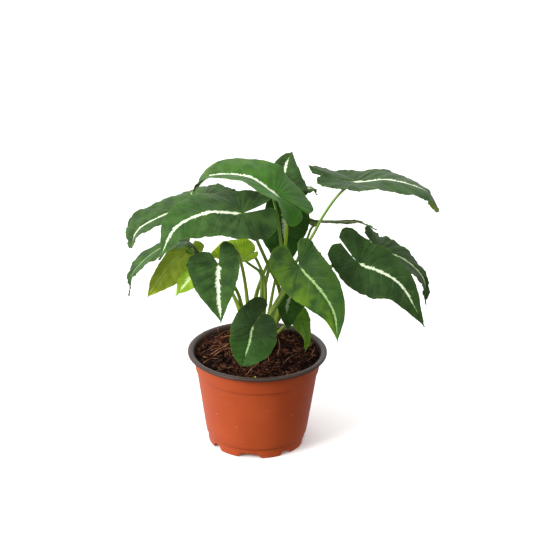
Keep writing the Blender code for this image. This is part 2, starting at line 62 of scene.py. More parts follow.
# Pot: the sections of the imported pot, with its corners rounded here
POT_HEIGHT = 84.0
LIP_RADIUS = 60.0
LIP_WIDTH = 5.0
LIP_DROP = 2.6
WALL = 1.2
COLLAR_TOP_RADIUS = 55.4
COLLAR_RADIUS = 53.0
COLLAR_HEIGHT = 66.0
BODY_TOP_RADIUS = 51.8
BODY_FOOT_RADIUS = 43.6
FOOT_RADIUS = 42.4
FOOT_HEIGHT = 8.6
FLOOR_HEIGHT = 6.4
LEDGE = 1.2
PAD_RADIUS = 12.0
PAD_SLOPE = 3.0
NOTCHES = 8
NOTCH_PHASE = math.radians(-98.0)
WIDE_NOTCH = 22.0
NARROW_NOTCH = 11.0
NOTCH_HEIGHT = 4.2
NOTCH_CORNER = (0.26, 0.52)
DRAIN_RADIUS = 3.0
DRAIN_CIRCLE = 31.0
DRAIN_SIDES = 24
CORNER_RADIUS = 0.7
CORNER_POINTS = 4

# Soil: a plug with clods on top, crumbs on the clods, and flakes and fibres strewn over them
SOIL_TOP = 81.0
SOIL_BOTTOM = 64.0
SOIL_RADIUS = 53.1
SOIL_EDGE_DROP = 2.2
SOIL_RISE = 0.06
CLOD_HEIGHT = 2.0
CLOD_SIZE = 11.0
SOIL_RINGS = 100
SOIL_SIDES = 360
FIBRE_SIDES = 5
FIBRE_STEPS = 7
STREWN_RADIUS = 50.5
CRUMB_SEED = 11
FIBRE_SEED = 23

# Long fibres on the soil: their points as (x, y, height over the soil), radius and shade
LONG_FIBRES = (
    (((-39, -5, 1), (-33, 2, 2), (-26, 7, 2)), 0.4, 0.9),
    (((-40, 0, 1), (-33, 6, 2), (-28, 11, 2)), 0.35, 0.9),
    (((-37, -8, 1), (-31, -1, 2), (-25, 4, 2)), 0.3, 1.0),
    (((-41, -6, 1), (-34, -3, 1), (-29, 5, 3)), 0.3, 0.8),
    (((-29, 5, 2), (-27, 7, 3), (-25, 8, 3)), 0.45, 1.3),
    (((-46, 20, 0), (-46, 21, 4), (-47, 22, 8), (-46, 22, 10)), 0.3, 0.6),
    (((-35, 36, 0), (-35, 37, 3), (-36, 38, 4)), 0.3, 0.8),
    (((-32, 34, 1), (-29, 37, 2), (-24, 38, 2)), 0.3, 0.7),
    (((-9, -41, 1), (-4, -32, 2), (1, -23, 2)), 0.3, 1.1),
    (((18, 19, 2), (19, 7, 3), (17, -7, 1)), 0.4, 0.9),
    (((7, -9, 1), (9, -14, 3), (10, -20, 1)), 0.25, 1.3),
    (((45, 9, 1), (47, 15, 2), (49, 18, 2)), 0.35, 0.9),
    (((46, -4, 1), (48, 3, 2), (50, 8, 3)), 0.35, 1.0),
    (((43, -14, 1), (47, -8, 2), (50, -3, 2)), 0.3, 0.8),
    (((-49, -5, 1), (-45, 3, 1), (-39, 7, 1)), 0.35, 0.7),
    (((-46, -20, 1), (-40, -15, 2), (-33, -14, 1)), 0.4, 0.8),
    (((-31, -23, 1), (-24, -31, 1), (-18, -34, 2)), 0.35, 0.7),
    (((22, -22, 1), (28, -13, 2), (35, -5, 1)), 0.3, 0.8),
    (((4, -33, 1), (11, -28, 1), (19, -29, 2)), 0.3, 0.7),
    (((-24, 31, 1), (-28, 24, 3), (-33, 25, 1)), 0.4, 0.9),
)

# Bark chips on the soil: x, y, length, width, turn in degrees and shade
CHIPS = (
    (-44, -11, 5, 3, 20, 1.0), (-10, -33, 4, 3, 70, 0.8), (46, 7, 5, 2, 15, 0.9), (49, -4, 6, 2, 40, 1.1),
    (41, -7, 1, 1, 0, 1.5), (33, -27, 1, 1, 0, 1.5), (-26, 30, 5, 3, 120, 0.7), (26, 26, 5, 3, 30, 0.6),
)

# Pale scales at the foot of the front stem, and one at the rim: x, y, height over the soil, radius and shade
SCALES = ((-9, -24, 1, 1.3, 0.2), (-11, -22, 1, 1.0, 0.1), (-4, -19, 2, 1.4, 0.2), (-2, -43, 1, 0.9, 1.3))

# Stalks
STALK_POINTS = 60
STALK_SIDES = 14
STEM_POINTS = 14
STEM_SIDES = 20
STALK_KNEE = 4.0
STALK_GAP = 0.3
STALK_GROOVE = 0.3
GROOVE_SPREAD = 0.45
SHEATH = 0.9
SWOLLEN = 0.25
STEM_BOTTOM = 70.0

# Blades: the numbers of the midline's points, then heights, widths and shares of the relief
HEEL, SINUS, TIP = 0, 1, 4
SIDE_VEINS = 15
VEIN_SWEEP = 0.8
TIP_HALF_WIDTH = 0.25
UNEVEN_MARGIN = 0.045
CLOSED_SINUS = 0.2
RUFFLE = 0.7
CUSHION = 0.9
SWELL = 0.9
GROOVE_DEPTH = 0.35
GROOVE_WIDTH = 1.3
RIB_WIDTH = 0.8
VEIN_SHARE = 0.15
BLADE_SHARE = 0.35

# Half of a blade's outline from the back of its lobe to its tip: x is a share of the rib's length (of the way
# to the heel where it is negative) and y a share of the half's width.
HALF_OUTLINE = (
    (-0.88, 0.21), (-1.00, 0.48), (-0.83, 0.81), (-0.38, 0.97), (0.05, 1.00),
    (0.30, 0.92), (0.54, 0.69), (0.75, 0.38), (0.91, 0.12), (1.00, 0.00),
)

# Stage: places in metres, and the side from which the white surroundings are brightest
CAMERA_PLACE = (0.00693, -1.24949, 0.66526)
CAMERA_PITCH = math.radians(22)
CAMERA_ROLL = math.radians(0.7)
SENSOR_WIDTH = 36.0
LAMP_PLACE = (-1.2, -0.95, 1.0)
LAMP_AIM = (0, 0, 0.13)
LAMP_SIZE = 0.7
WINDOW = (-0.52, 0.30, 0.80)
FLOOR_HALF = 6.0


@dataclass(frozen=True)
class Shoot:
    """A stem of the clump: where it leaves the soil, its top and its radius there."""

    base: tuple
    top: tuple
    radius: float


@dataclass(frozen=True)
class Leaf:
    """A blade and its stalk: places in millimetres, angles in degrees.

    rib runs from the sinus to the tip, and heel lies between the ends of the two basal lobes. face is the
    way the upper side looks. Pairs are for the half on the left, then the one on the right, of someone who
    stands on the upper side at the sinus and looks at the tip: width of each half, lobe as a share of the
    way to the heel, fold of each half up from the rib, curl, its further turn up towards the margin, swell,
    which widens the half towards the tip and narrows its lobe, droop, which turns the lobe down, gape, which
    opens the sinus, and close, which folds the half further up towards the tip. root is the height at which
    the stalk leaves its shoot, and thick its share of a plain stalk's radius. blunt rounds the tip, wave is
    the height of the margin's waves and phase their start. streak is the pale stripe along the rib: its
    start and end as shares of the rib, and its half width. pale turns the stripe from white to light green:
    partly the stripe's own tint, partly painted shade on stripes that lie in shade. glow is the share of
    yellow-green in each half, painted light coming through the blade, and fresh the share of bright green
    at the lobes and at the tip. dim is painted shade, which darkens a blade that lies in shade, twist turns
    its end about the rib, and ragged is how uneven the margin is.
    """

    shoot: str
    rib: tuple
    heel: tuple
    face: tuple
    width: tuple
    root: float
    stalk: tuple
    lobe: tuple = (1.0, 1.0)
    fold: tuple = (12, 12)
    curl: tuple = (-12, -12)
    gape: tuple = (1.0, 1.0)
    swell: tuple = (0.0, 0.0)
    droop: tuple = (0, 0)
    close: tuple = (0, 0)
    blunt: float = 0.0
    wave: float = 1.2
    phase: float = 0.0
    thick: float = 1.0
    streak: tuple = (0.03, 0.9, 1.9)
    pale: float = 0.0
    painted_shade: float = 0.0
    glow: tuple = (0.0, 0.0)
    fresh: tuple = (0.0, 0.0)
    twist: float = 0.0
    ragged: float = 0.6


SHOOTS = {
    "left": Shoot((-13, 3), (-13.5, 2.5, 89), 4.0),
    "front": Shoot((-3, -4), (-2.5, -4.5, 89), 3.6),
    "middle": Shoot((-5, 12), (-4.5, 12, 91), 3.8),
    "right": Shoot((4, 17), (5, 16.5, 91), 4.2),
    "far": Shoot((9, 29), (10, 28.5, 89), 3.8),
}

LEAVES = {
    "top": Leaf(
        "right", ((14, -12, 229), (-9, -6, 242), (-40, 4, 239), (-57, 10, 221)), (45, -7, 207),
        (-0.05, -0.1, 1.0), (20, 31), 88,
        ((13, 12, 97), (21, 5, 128), (23, -3, 159), (19, -8, 183), (16, -12, 207)),
        lobe=(0.75, 1.0), fold=(16, 18), curl=(-8, -14), gape=(0.0, 0.0), swell=(-0.3, -0.3), droop=(45, 0),
        streak=(-0.03, 1.25, 2.2), blunt=0.4, glow=(0.0, 0.2), fresh=(0.85, 0.2)),
    "big_left": Leaf(
        "right", ((-14, -32, 220), (-41, -46, 225), (-66, -58, 216), (-79, -65, 191)), (14, -20, 222),
        (-0.1, -0.45, 0.85), (26, 27), 86,
        ((10, 14, 92), (17, 10, 115), (18, 6, 137), (7, -9, 168), (-4, -22, 198)),
        fold=(-6, 2), gape=(0.0, 1.0), droop=(25, 0), thick=1.25, streak=(0.02, 0.97, 2.2),
        fresh=(0.0, 0.15), ragged=0.9),
    "outer_left": Leaf(
        "middle", ((-45, 18, 215), (-70, 12, 206), (-99, 3, 193), (-108, 0, 176)), (-17, 24, 215),
        (0.05, -0.05, 1.0), (15, 23), 86,
        ((4, 12, 108), (6, 14, 138), (-2, 15, 161), (-15, 17, 182), (-29, 18, 200)),
        fold=(8, 10), swell=(0.0, 0.2), blunt=0.55, streak=(0.2, 0.95, 1.9), pale=0.25, ragged=1.3),
    "low_left": Leaf(
        "left", ((-59, -22, 191), (-81, -26, 186), (-102, -31, 168), (-107, -35, 147)), (-50, -18, 182),
        (-0.2, 0.0, 1.0), (15, 17), 84,
        ((-14, 0, 112), (-20, -3, 133), (-27, -7, 148), (-35, -12, 162), (-45, -16, 171), (-52, -19, 178)),
        fold=(5, 5), droop=(35, 0), thick=0.9, streak=(0.1, 0.85, 0.7), pale=0.9, ragged=1.7),
    "yellow_left": Leaf(
        "left", ((-61, 6, 172), (-73, 3, 162), (-83, -1, 149), (-94, -6, 134)), (-55, 9, 182),
        (-0.49, 0.69, 0.16), (21, 20), 85,
        ((-13, 3, 115), (-19, 2, 139), (-34, 2, 155), (-52, 4, 168)),
        fold=(-14, -12), swell=(0.3, 0.5), streak=(0.05, 0.9, 0.6), pale=1.0, glow=(0.9, 0.7), ragged=0.6),
    "lime_left": Leaf(
        "left", ((-49, -19, 165), (-57, -21, 157), (-63, -24, 150), (-69, -28, 144)), (-43, -17, 169),
        (-0.3, -0.7, 0.6), (11, 10), 87,
        ((-14, -1, 115), (-22, -4, 138), (-32, -9, 152), (-42, -15, 161)),
        lobe=(0.7, 0.5), streak=(0.1, 0.8, 2.2), pale=0.8, glow=(0.4, 0.9), fresh=(0.1, 0.5)),
    "heart_left": Leaf(
        "left", ((-32, -52, 183), (-32, -59, 169), (-31, -66, 155), (-29, -72, 140)), (-34, -45, 194),
        (0.0, -0.95, 0.3), (17, 24), 84,
        ((-8, -4, 111), (-10, -15, 145), (-13, -26, 169), (-17, -38, 188), (-24, -46, 193)),
        lobe=(1.3, 0.9), swell=(0.0, -0.15), streak=(0.03, 0.97, 2.7), pale=0.1, fresh=(0.0, 0.1)),
    "lime_middle": Leaf(
        "middle", ((-13, -9, 173), (-23, -10, 174), (-33, -12, 174), (-43, -14, 175)), (-1, -6, 177),
        (0.0, -0.6, 0.8), (9, 18), 88,
        ((0, 9, 105), (3, 5, 135), (2, 0, 154), (-7, -5, 164)),
        gape=(0.0, 0.0), fold=(30, 5), streak=(0.0, 0.5, 1.2), pale=0.8, glow=(0.9, 0.9), fresh=(0.2, 0.2)),
    "heart_right": Leaf(
        "front", ((34, -34, 175), (50, -45, 160), (62, -54, 143), (66, -62, 120)), (27, -26, 193),
        (0.1, -0.9, 0.4), (20, 23), 84,
        ((2, -9, 96), (10, -15, 120), (21, -21, 143), (28, -27, 161)),
        streak=(0.04, 0.97, 1.5), pale=1.0, glow=(0.15, 0.7), fresh=(0.1, 0.3), painted_shade=0.25),
    "upper_right": Leaf(
        "front", ((77, 0, 237), (107, -6, 241), (138, -11, 233), (148, -15, 217)), (39, 6, 244),
        (0.0, 0.0, 1.0), (27, 24), 86,
        ((4, -6, 97), (11, -10, 123), (23, -12, 148), (32, -11, 171), (44, -9, 191), (55, -6, 212),
         (68, -2, 229)),
        lobe=(1.0, 0.75), fold=(8, 5), gape=(0.0, 0.0), swell=(0.35, 0.3), droop=(0, 15), close=(-45, -12),
        blunt=0.2, thick=1.1, streak=(0.0, 0.72, 2.2), pale=0.15, fresh=(0.0, 0.3), painted_shade=0.35, twist=60,
        ragged=1.2),
    "lower_right": Leaf(
        "far", ((84, -10, 169), (101, -16, 164), (120, -23, 153), (140, -30, 120)), (67, -2, 188),
        (0.25, -0.75, 0.6), (22, 26), 84,
        ((17, 20, 102), (29, 12, 125), (46, 5, 147), (61, -1, 162), (73, -6, 168)),
        fold=(8, 2), gape=(0.0, 0.4), swell=(0.1, 0.35), lobe=(1.15, 0.95), thick=0.9,
        streak=(0.02, 0.93, 1.9), pale=0.15, fresh=(0.1, 0.1), painted_shade=0.45, ragged=0.8),
    "outer_right": Leaf(
        "far", ((102, 18, 170), (123, 16, 163), (141, 14, 146), (145, 12, 122)), (86, 24, 183),
        (0.5, -0.3, 0.8), (19, 20), 85,
        ((16, 25, 102), (31, 19, 125), (51, 17, 146), (70, 17, 158), (86, 18, 166)),
        fold=(6, 8), swell=(-0.35, 0.0), thick=0.9,
        streak=(0.03, 0.85, 1.5), pale=0.6, painted_shade=0.3, ragged=1.6),
    "flat_right": Leaf(
        "far", ((49, 39, 188), (67, 42, 187), (85, 43, 186), (102, 41, 180)), (38, 41, 187),
        (0.0, 0.42, 0.9), (18, 12), 86,
        ((16, 28, 107), (27, 27, 128), (36, 31, 152), (41, 35, 170), (45, 38, 181)),
        fold=(0, 0), thick=0.9, glow=(0.6, 0.6)),
    "tip_up": Leaf(
        "right", ((24, 26, 215), (21, 38, 223), (22, 50, 232), (27, 62, 242)), (27, 20, 205),
        (0.0, -0.6, 0.8), (16, 18), 89,
        ((9, 20, 105), (14, 28, 134), (20, 33, 160), (24, 33, 185), (25, 31, 203)),
        lobe=(0.4, 0.4), blunt=0.35, thick=0.8, streak=(0.1, 0.93, 2.2)),
    "behind_right": Leaf(
        "middle", ((35, 36, 216), (41, 42, 216), (46, 46, 214), (50, 50, 208)), (28, 32, 214),
        (0.2, 0.0, 1.0), (8, 8), 88,
        ((2, 18, 117), (11, 24, 155), (24, 26, 184), (32, 32, 208)), glow=(0.8, 0.8)),
    "hanging": Leaf(
        "middle", ((21, 20, 202), (22, 22, 185), (22, 23, 167), (20, 20, 144)), (22, 16, 216),
        (0.05, -0.95, 0.2), (22, 21), 87,
        ((-3, 17, 120), (5, 21, 147), (14, 25, 166), (19, 28, 187)),
        fold=(8, 8), swell=(0.0, 0.4), streak=(0.0, 0.6, 2.6), pale=0.4, fresh=(0.3, 0.3)),
    "front": Leaf(
        "front", ((-3, -40, 124), (-6, -44, 112), (-9, -49, 103), (-12, -54, 93)), (12, -31, 143),
        (0.1, -0.8, 0.6), (22, 18), 83,
        ((-2, -10, 95), (-3, -22, 115), (-3, -33, 122)),
        lobe=(0.6, 0.9), gape=(0.0, 0.0), swell=(0.1, 0.1), blunt=0.45,
        streak=(0.02, 0.8, 1.3), pale=0.85, fresh=(0.0, 0.6), painted_shade=0.5),
    "inner_right": Leaf(
        "far", ((28, -2, 136), (25, -3, 126), (25, -4, 115), (26, -5, 104)), (33, 0, 147),
        (0.2, -0.95, 0.1), (16, 10), 83,
        ((18, 18, 108), (26, 8, 127)), streak=(0.05, 0.6, 1.8), pale=0.7, fresh=(0.5, 0.4), ragged=1.4),
    "low_right": Leaf(
        "right", ((35, 10, 111), (39, 7, 103), (42, 2, 94), (42, -4, 84)), (28, 13, 120),
        (0.6, -0.7, 0.2), (9, 10), 86,
        ((16, 13, 93), (23, 10, 101)), streak=(0.0, 0.1, 0.0), glow=(0.1, 0.1), fresh=(1.0, 1.0)),
}

# Young blades, still yellow-green
YOUNG_LEAVES = ("yellow_left", "lime_left", "lime_middle", "low_right")

# A young leaf, still rolled up, on the right shoot: the line of its middle
SPEAR = ((6, 16, 88), (12, 15, 103), (20, 11, 134), (22, 9, 165), (23, 9, 182), (24, 9, 200))
SPEAR_SHOOT = "right"
SPEAR_GROOVE = 0.35
SPEAR_SEAM = (0.6, -0.8, 0.1)

# The shoot with the pale scales at its foot, and how far a scale reaches from there, in its own radii
SCALE_SHOOT = "front"
SCALE_REACH = np.array((1.6, -2.0, 2.2))
SCALE_POINTS = 8


def linear(hex_colour):
    """The linear RGB of an sRGB hex colour."""
    parts = [int(hex_colour[i:i + 2], 16) / 255 for i in (1, 3, 5)]
    return tuple(p / 12.92 if p <= 0.04045 else ((p + 0.055) / 1.055) ** 2.4 for p in parts)


def unit(vector):
    """The vector at length one, or each row of an array of them."""
    return vector / np.linalg.norm(vector, axis=-1, keepdims=True)


def smooth(low, high, value):
    """0 below low, 1 above high and a smooth step between."""
    share = np.clip((value - low) / (high - low), 0, 1)
    return share * share * (3 - 2 * share)


def seed_of(name):
    """A whole number that belongs to a name."""
    return sum(map(ord, name))


def wiggle(at, seed, octaves=4):
    """A repeatable rough line between about -1 and 1, as a sum of waves."""
    draw = np.random.default_rng(seed)
    total = 0
    for octave in range(octaves):
        total = total + np.sin(at * 2.1**octave + draw.uniform(0, math.tau)) * 0.6**octave
    return total / 1.6


def spline(points, at):
    """Catmull-Rom curve through points, read at each number of at, which counts points from 0."""
    points = np.array(points, float)
    padded = np.vstack([2 * points[0] - points[1], points, 2 * points[-1] - points[-2]])
    at = np.clip(np.asarray(at, float), 0, len(points) - 1)
    first = np.minimum(at.astype(int), len(points) - 2)
    t = (at - first)[:, None]
    a, b, c, d = (padded[first + k] for k in range(4))
    return 0.5 * (2 * b + (c - a) * t + (2 * a - 5 * b + 4 * c - d) * t**2 + (3 * b - a - 3 * c + d) * t**3)


def path_points(points, count):
    """count places evenly spread by point number along the curve through points."""
    return spline(points, np.linspace(0, len(points) - 1, count))


def grid_faces(rows, columns, closed=True):
    """The faces between rows of points, where the last point of a closed row joins its first."""
    place = np.arange(columns if closed else columns - 1)
    start = np.arange(rows)[:, None] * columns
    first, after = (start + place).ravel(), (start + (place + 1) % columns).ravel()
    return np.stack([first, first + columns, after + columns, after], -1)


def add_object(name, data):
    """An object that holds data, in the scene's collection."""
    made = bpy.data.objects.new(name, data)
    bpy.context.scene.collection.objects.link(made)
    return made


def add_mesh(name, places, faces, *looks):
    """An object with a mesh of places in metres, faces and materials."""
    mesh = bpy.data.meshes.new(name)
    mesh.from_pydata(np.asarray(places).tolist(), [], faces)
    for look in looks:
        mesh.materials.append(look)
    return add_object(name, mesh)


def add_attribute(mesh, name, kind, values):
    """A point attribute of the mesh."""
    made = mesh.attributes.new(name, kind, "POINT")
    field = {"FLOAT": "value", "FLOAT_VECTOR": "vector", "FLOAT_COLOR": "color"}[kind]
    made.data.foreach_set(field, np.asarray(values, np.float32).ravel())


def weld(mesh, distance, outward=False):
    """Joins the mesh's points that lie within distance, in millimetres, and may turn its faces outward."""
    bm = bmesh.new()
    bm.from_mesh(mesh)
    bmesh.ops.remove_doubles(bm, verts=bm.verts, dist=distance * MM)
    if outward:
        bmesh.ops.recalc_face_normals(bm, faces=bm.faces)
    bm.to_mesh(mesh)
    bm.free()
    mesh.shade_smooth()


# Blades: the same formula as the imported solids, in millimetres, with a finer margin and relief


def by_half(v, pair):
    """A leaf's value for each point, from the pair for its left half and its right one."""
    return np.where(v > 0, *pair)


def rib_share(at):
    """Where a number of the midline lies along the rib: 0 at the sinus and 1 at the tip."""
    return (at - SINUS) / (TIP - SINUS)


def blade_plan(leaf, s, v, seed):
    """Flat leaf coordinates: s runs from the lobe's back to the tip and v across, from -1 to 1.

    Gives where on the midline the point belongs and how far from the midline it lies.
    """
    margin = spline(HALF_OUTLINE, s * (len(HALF_OUTLINE) - 1))
    behind = margin[:, 0] < 0
    place = margin[:, 0] * np.where(behind, by_half(v, leaf.lobe), TIP - SINUS)
    shaped = 1 + by_half(v, leaf.swell) * np.clip((margin[:, 0] - 0.25) * 2, -0.5, 1)
    half = np.maximum(margin[:, 1], 0) ** np.where(behind, 1, 1 - leaf.blunt)
    closed = CLOSED_SINUS * (1 - by_half(v, leaf.gape)) * np.clip(1 - 3 * s, 0, 1)
    uneven = by_half(v, (wiggle(s * 31, seed), wiggle(s * 31, seed + 50)))
    away = (half - closed) * shaped * by_half(v, leaf.width) * (1 + UNEVEN_MARGIN * leaf.ragged * uneven)
    start = np.clip(place - VEIN_SWEEP * margin[:, 1], 0, TIP - SINUS)
    across = np.abs(v)
    return SINUS + start + (place - start) * across, np.maximum(away, TIP_HALF_WIDTH) * across


def turned_run(angle, bend, distance):
    """How far out and up a strip of that length reaches, starting at angle and turning by bend per unit."""
    bend = np.where(np.abs(bend) < 1e-7, 1e-7, bend)
    end = angle + bend * distance
    return (np.sin(end) - np.sin(angle)) / bend, (np.cos(angle) - np.cos(end)) / bend


def blade_frame(leaf, at):
    """Places on the leaf's midline, and the sideways and upward directions of the blade there."""
    points = np.array((leaf.heel, *leaf.rib), float)
    middle = spline(points, at) + np.clip(HEEL - at, 0, None)[:, None] * (points[HEEL] - points[SINUS])
    step = 0.02
    near = np.clip(at, HEEL + step, TIP - step)
    tangent = unit(spline(points, near + step) - spline(points, near - step))
    face = unit(np.array(leaf.face, float))
    lift = unit(face - (tangent @ face)[:, None] * tangent)
    side = np.cross(lift, tangent)
    turn = math.radians(leaf.twist) * smooth(TIP - 1, TIP, at)[:, None]
    return middle, side * np.cos(turn) - lift * np.sin(turn), lift * np.cos(turn) + side * np.sin(turn)


def blade_relief(leaf, s, v, away, seed):
    """Height over the plain blade: side veins sunk in, soft cushions between them, and a ruffled margin."""
    across = np.abs(v)
    ripple = leaf.wave * v**2 * np.sin(s * 17 + leaf.phase + by_half(v, (0, 2.1)))
    rough = by_half(v, (wiggle(s * 45, seed + 7), wiggle(s * 45, seed + 8)))
    ruffle = RUFFLE * leaf.ragged * across**4 * rough
    spread = np.minimum(away / 12, 1)
    full = 0.3 + 0.7 * smooth(0.15, 0.5, s)
    cushion = CUSHION * spread * full * np.sin(np.pi * s * SIDE_VEINS) ** 2 * (1 - across**2)
    groove = -GROOVE_DEPTH * np.exp(-((away / GROOVE_WIDTH) ** 2))
    return ripple + ruffle + cushion + groove + SWELL * spread * wiggle(s * 9 + v * 2, seed + 9, 2)


def blade_surface(leaf, s, v, at, away, seed):
    """Places in metres of the points (s, v) of a leaf's upper side."""
    middle, side, lift = blade_frame(leaf, at)
    fold = by_half(v, leaf.fold) + by_half(v, leaf.close) * np.clip(rib_share(at), 0, 1) ** 2
    fold = np.radians(fold - by_half(v, leaf.droop) * np.clip(2 - 2 * at, 0, 1))
    bend = np.radians(by_half(v, leaf.curl)) / by_half(v, leaf.width)
    out, rise = turned_run(fold, bend, away)
    rise = rise + blade_relief(leaf, s, v, away, seed)
    return (middle + side * (out * np.sign(v))[:, None] + lift * rise[:, None]) * MM


def blade_paint(leaf, at, v):
    """What the blade's material reads at each point: the stripe's half width, glow, fresh green and pale."""
    share = rib_share(at)
    start, end, half_width = leaf.streak
    open_end = smooth(start - 0.03, start + 0.05, share) * (1 - smooth(end - 0.2, end, share))
    stripe = half_width * open_end * (1 - 0.4 * np.clip(share, 0, 1))
    glow = by_half(v, leaf.glow) * smooth(0.02, 0.6, np.abs(v)) * (0.45 + 0.55 * smooth(-0.2, 0.7, share))
    fresh = leaf.fresh[0] + (leaf.fresh[1] - leaf.fresh[0]) * smooth(0.0, 0.7, share)
    return np.stack([stripe, glow, fresh, np.full_like(v, leaf.pale)], -1)


def make_blade(name, leaf, rows, columns, thickness, looks):
    """One leaf blade: a fine grid shaped by the leaf's formula, given its thickness and the rib under it."""
    seed = seed_of(name)
    steps = np.linspace(-1, 1, 2 * columns + 1)
    across = np.sign(steps) * smooth(0, 1, np.abs(steps))
    s, v = (grid.ravel() for grid in np.meshgrid(np.linspace(0, 1, rows + 1), across, indexing="ij"))
    at, away = blade_plan(leaf, s, v, seed)
    faces = grid_faces(rows, len(steps), closed=False).tolist()
    blade = add_mesh(f"blade_{name}", blade_surface(leaf, s, v, at, away, seed), faces, *looks)
    mesh = blade.data
    layer = mesh.uv_layers.new(name="vein")
    corner = np.empty(len(mesh.loops), np.int32)
    mesh.loops.foreach_get("vertex_index", corner)
    layer.data.foreach_set("uv", np.stack([s, v], -1).astype(np.float32)[corner].ravel())
    add_attribute(mesh, "paint", "FLOAT_COLOR", blade_paint(leaf, at, v))
    add_attribute(mesh, "away", "FLOAT", away)
    add_attribute(mesh, "painted_shade", "FLOAT", np.full(len(v), leaf.painted_shade))
    rib = np.exp(-((away / RIB_WIDTH) ** 2)) * (1 - 0.6 * np.clip(rib_share(at), 0, 1))
    vein = VEIN_SHARE * np.cos(np.pi * s * SIDE_VEINS) ** 24 * (1 - np.abs(v))
    group = blade.vertex_groups.new(name="rib")
    for index, weight in enumerate(np.clip(rib + vein, 0, 1).tolist()):
        group.add([index], weight, "REPLACE")
    weld(mesh, 0.02)
    solidify = blade.modifiers.new("Thickness", "SOLIDIFY")
    solidify.thickness = thickness
    solidify.offset = -1.0
    solidify.vertex_group = group.name
    solidify.thickness_vertex_group = BLADE_SHARE
    solidify.material_offset = 1
    return blade


# Loose shapes that are gathered into one mesh


class Heap:
    """Gathers shapes into one mesh with a shade for each and a grain direction for each vertex."""

    def __init__(self):
        self.places, self.faces, self.shades, self.grains = [], [], [], []
        self.count = 0

    def add(self, places, faces, shade, grain=None):
        """Adds a shape: places in metres, a number or one per vertex as shade, and a vector per vertex."""
        self.faces += [tuple(int(i) + self.count for i in face) for face in faces]
        self.places.append(np.asarray(places, float))
        self.shades.append(np.broadcast_to(shade, len(places)))
        self.grains.append(np.zeros((len(places), 3)) if grain is None else grain)
        self.count += len(places)

    def add_tube(self, path, radii, sides, shade, groove=0.0, facing=(0, 0, 1), offset=0):
        """Adds a closed tube round a path in millimetres, with one shade or one for each of its rings.

        groove is the depth, as a share of the radius, of a channel along the side that looks the facing way,
        and offset shifts the grain, so that no two tubes have the same.
        """
        tangent = unit(np.gradient(path, axis=0))
        side = np.empty_like(path)
        side[0] = unit(np.cross(tangent[0], np.array(facing, float) + (0.013, 0.007, 0)))
        for i in range(1, len(path)):
            side[i] = unit(side[i - 1] - (side[i - 1] @ tangent[i]) * tangent[i])
        up = np.cross(side, tangent)
        angle = np.linspace(0, math.tau, sides, endpoint=False)
        channel = 1 - groove * np.exp(-(((angle - math.pi / 2) / GROOVE_SPREAD) ** 2))
        around = side[:, None] * np.cos(angle)[:, None] + up[:, None] * np.sin(angle)[:, None]
        places = path[:, None] + around * channel[:, None] * np.asarray(radii)[:, None, None]
        run = np.concatenate([[0], np.cumsum(np.linalg.norm(np.diff(path, axis=0), axis=1))])
        grain = np.broadcast_arrays(np.cos(angle), np.sin(angle), run[:, None] / 40 + offset)
        ring = np.arange(sides)
        faces = grid_faces(len(path) - 1, sides)[:, [0, 3, 2, 1]].tolist()
        faces += [ring[::-1].tolist(), (ring + (len(path) - 1) * sides).tolist()]
        self.add(places.reshape(-1, 3) * MM, faces, np.repeat(shade, sides) if np.ndim(shade) else shade,
                 np.stack(grain, -1).reshape(-1, 3))

    def build(self, name, look):
        """The gathered shapes as one object."""
        if not self.places:
            raise RuntimeError(f"nothing was gathered for {name}")
        made = add_mesh(name, np.vstack(self.places), self.faces, look)
        add_attribute(made.data, "shade", "FLOAT", np.concatenate(self.shades))
        add_attribute(made.data, "grain", "FLOAT_VECTOR", np.vstack(self.grains))
        made.data.shade_smooth()
        return made


def shoot_axis(shoot, height):
    """The place on a shoot's axis at that height."""
    soil = np.array([*shoot.base, SOIL_TOP])
    lean = (np.array(shoot.top, float) - soil) / (shoot.top[2] - soil[2])
    return soil + lean * (height - soil[2])


def stalk_path(leaf):
    """The leaf stalk's centreline: from inside its shoot to a knee that meets the blade from below."""
    root = shoot_axis(SHOOTS[leaf.shoot], leaf.root)
    lift = blade_frame(leaf, np.array([float(SINUS)]))[2][0]
    knee, end = (np.array(leaf.rib[0]) - lift * below for below in (STALK_KNEE, STALK_GAP))
    coarse = np.vstack([path_points([root, *leaf.stalk, knee], 12), end])
    return path_points(coarse, STALK_POINTS)


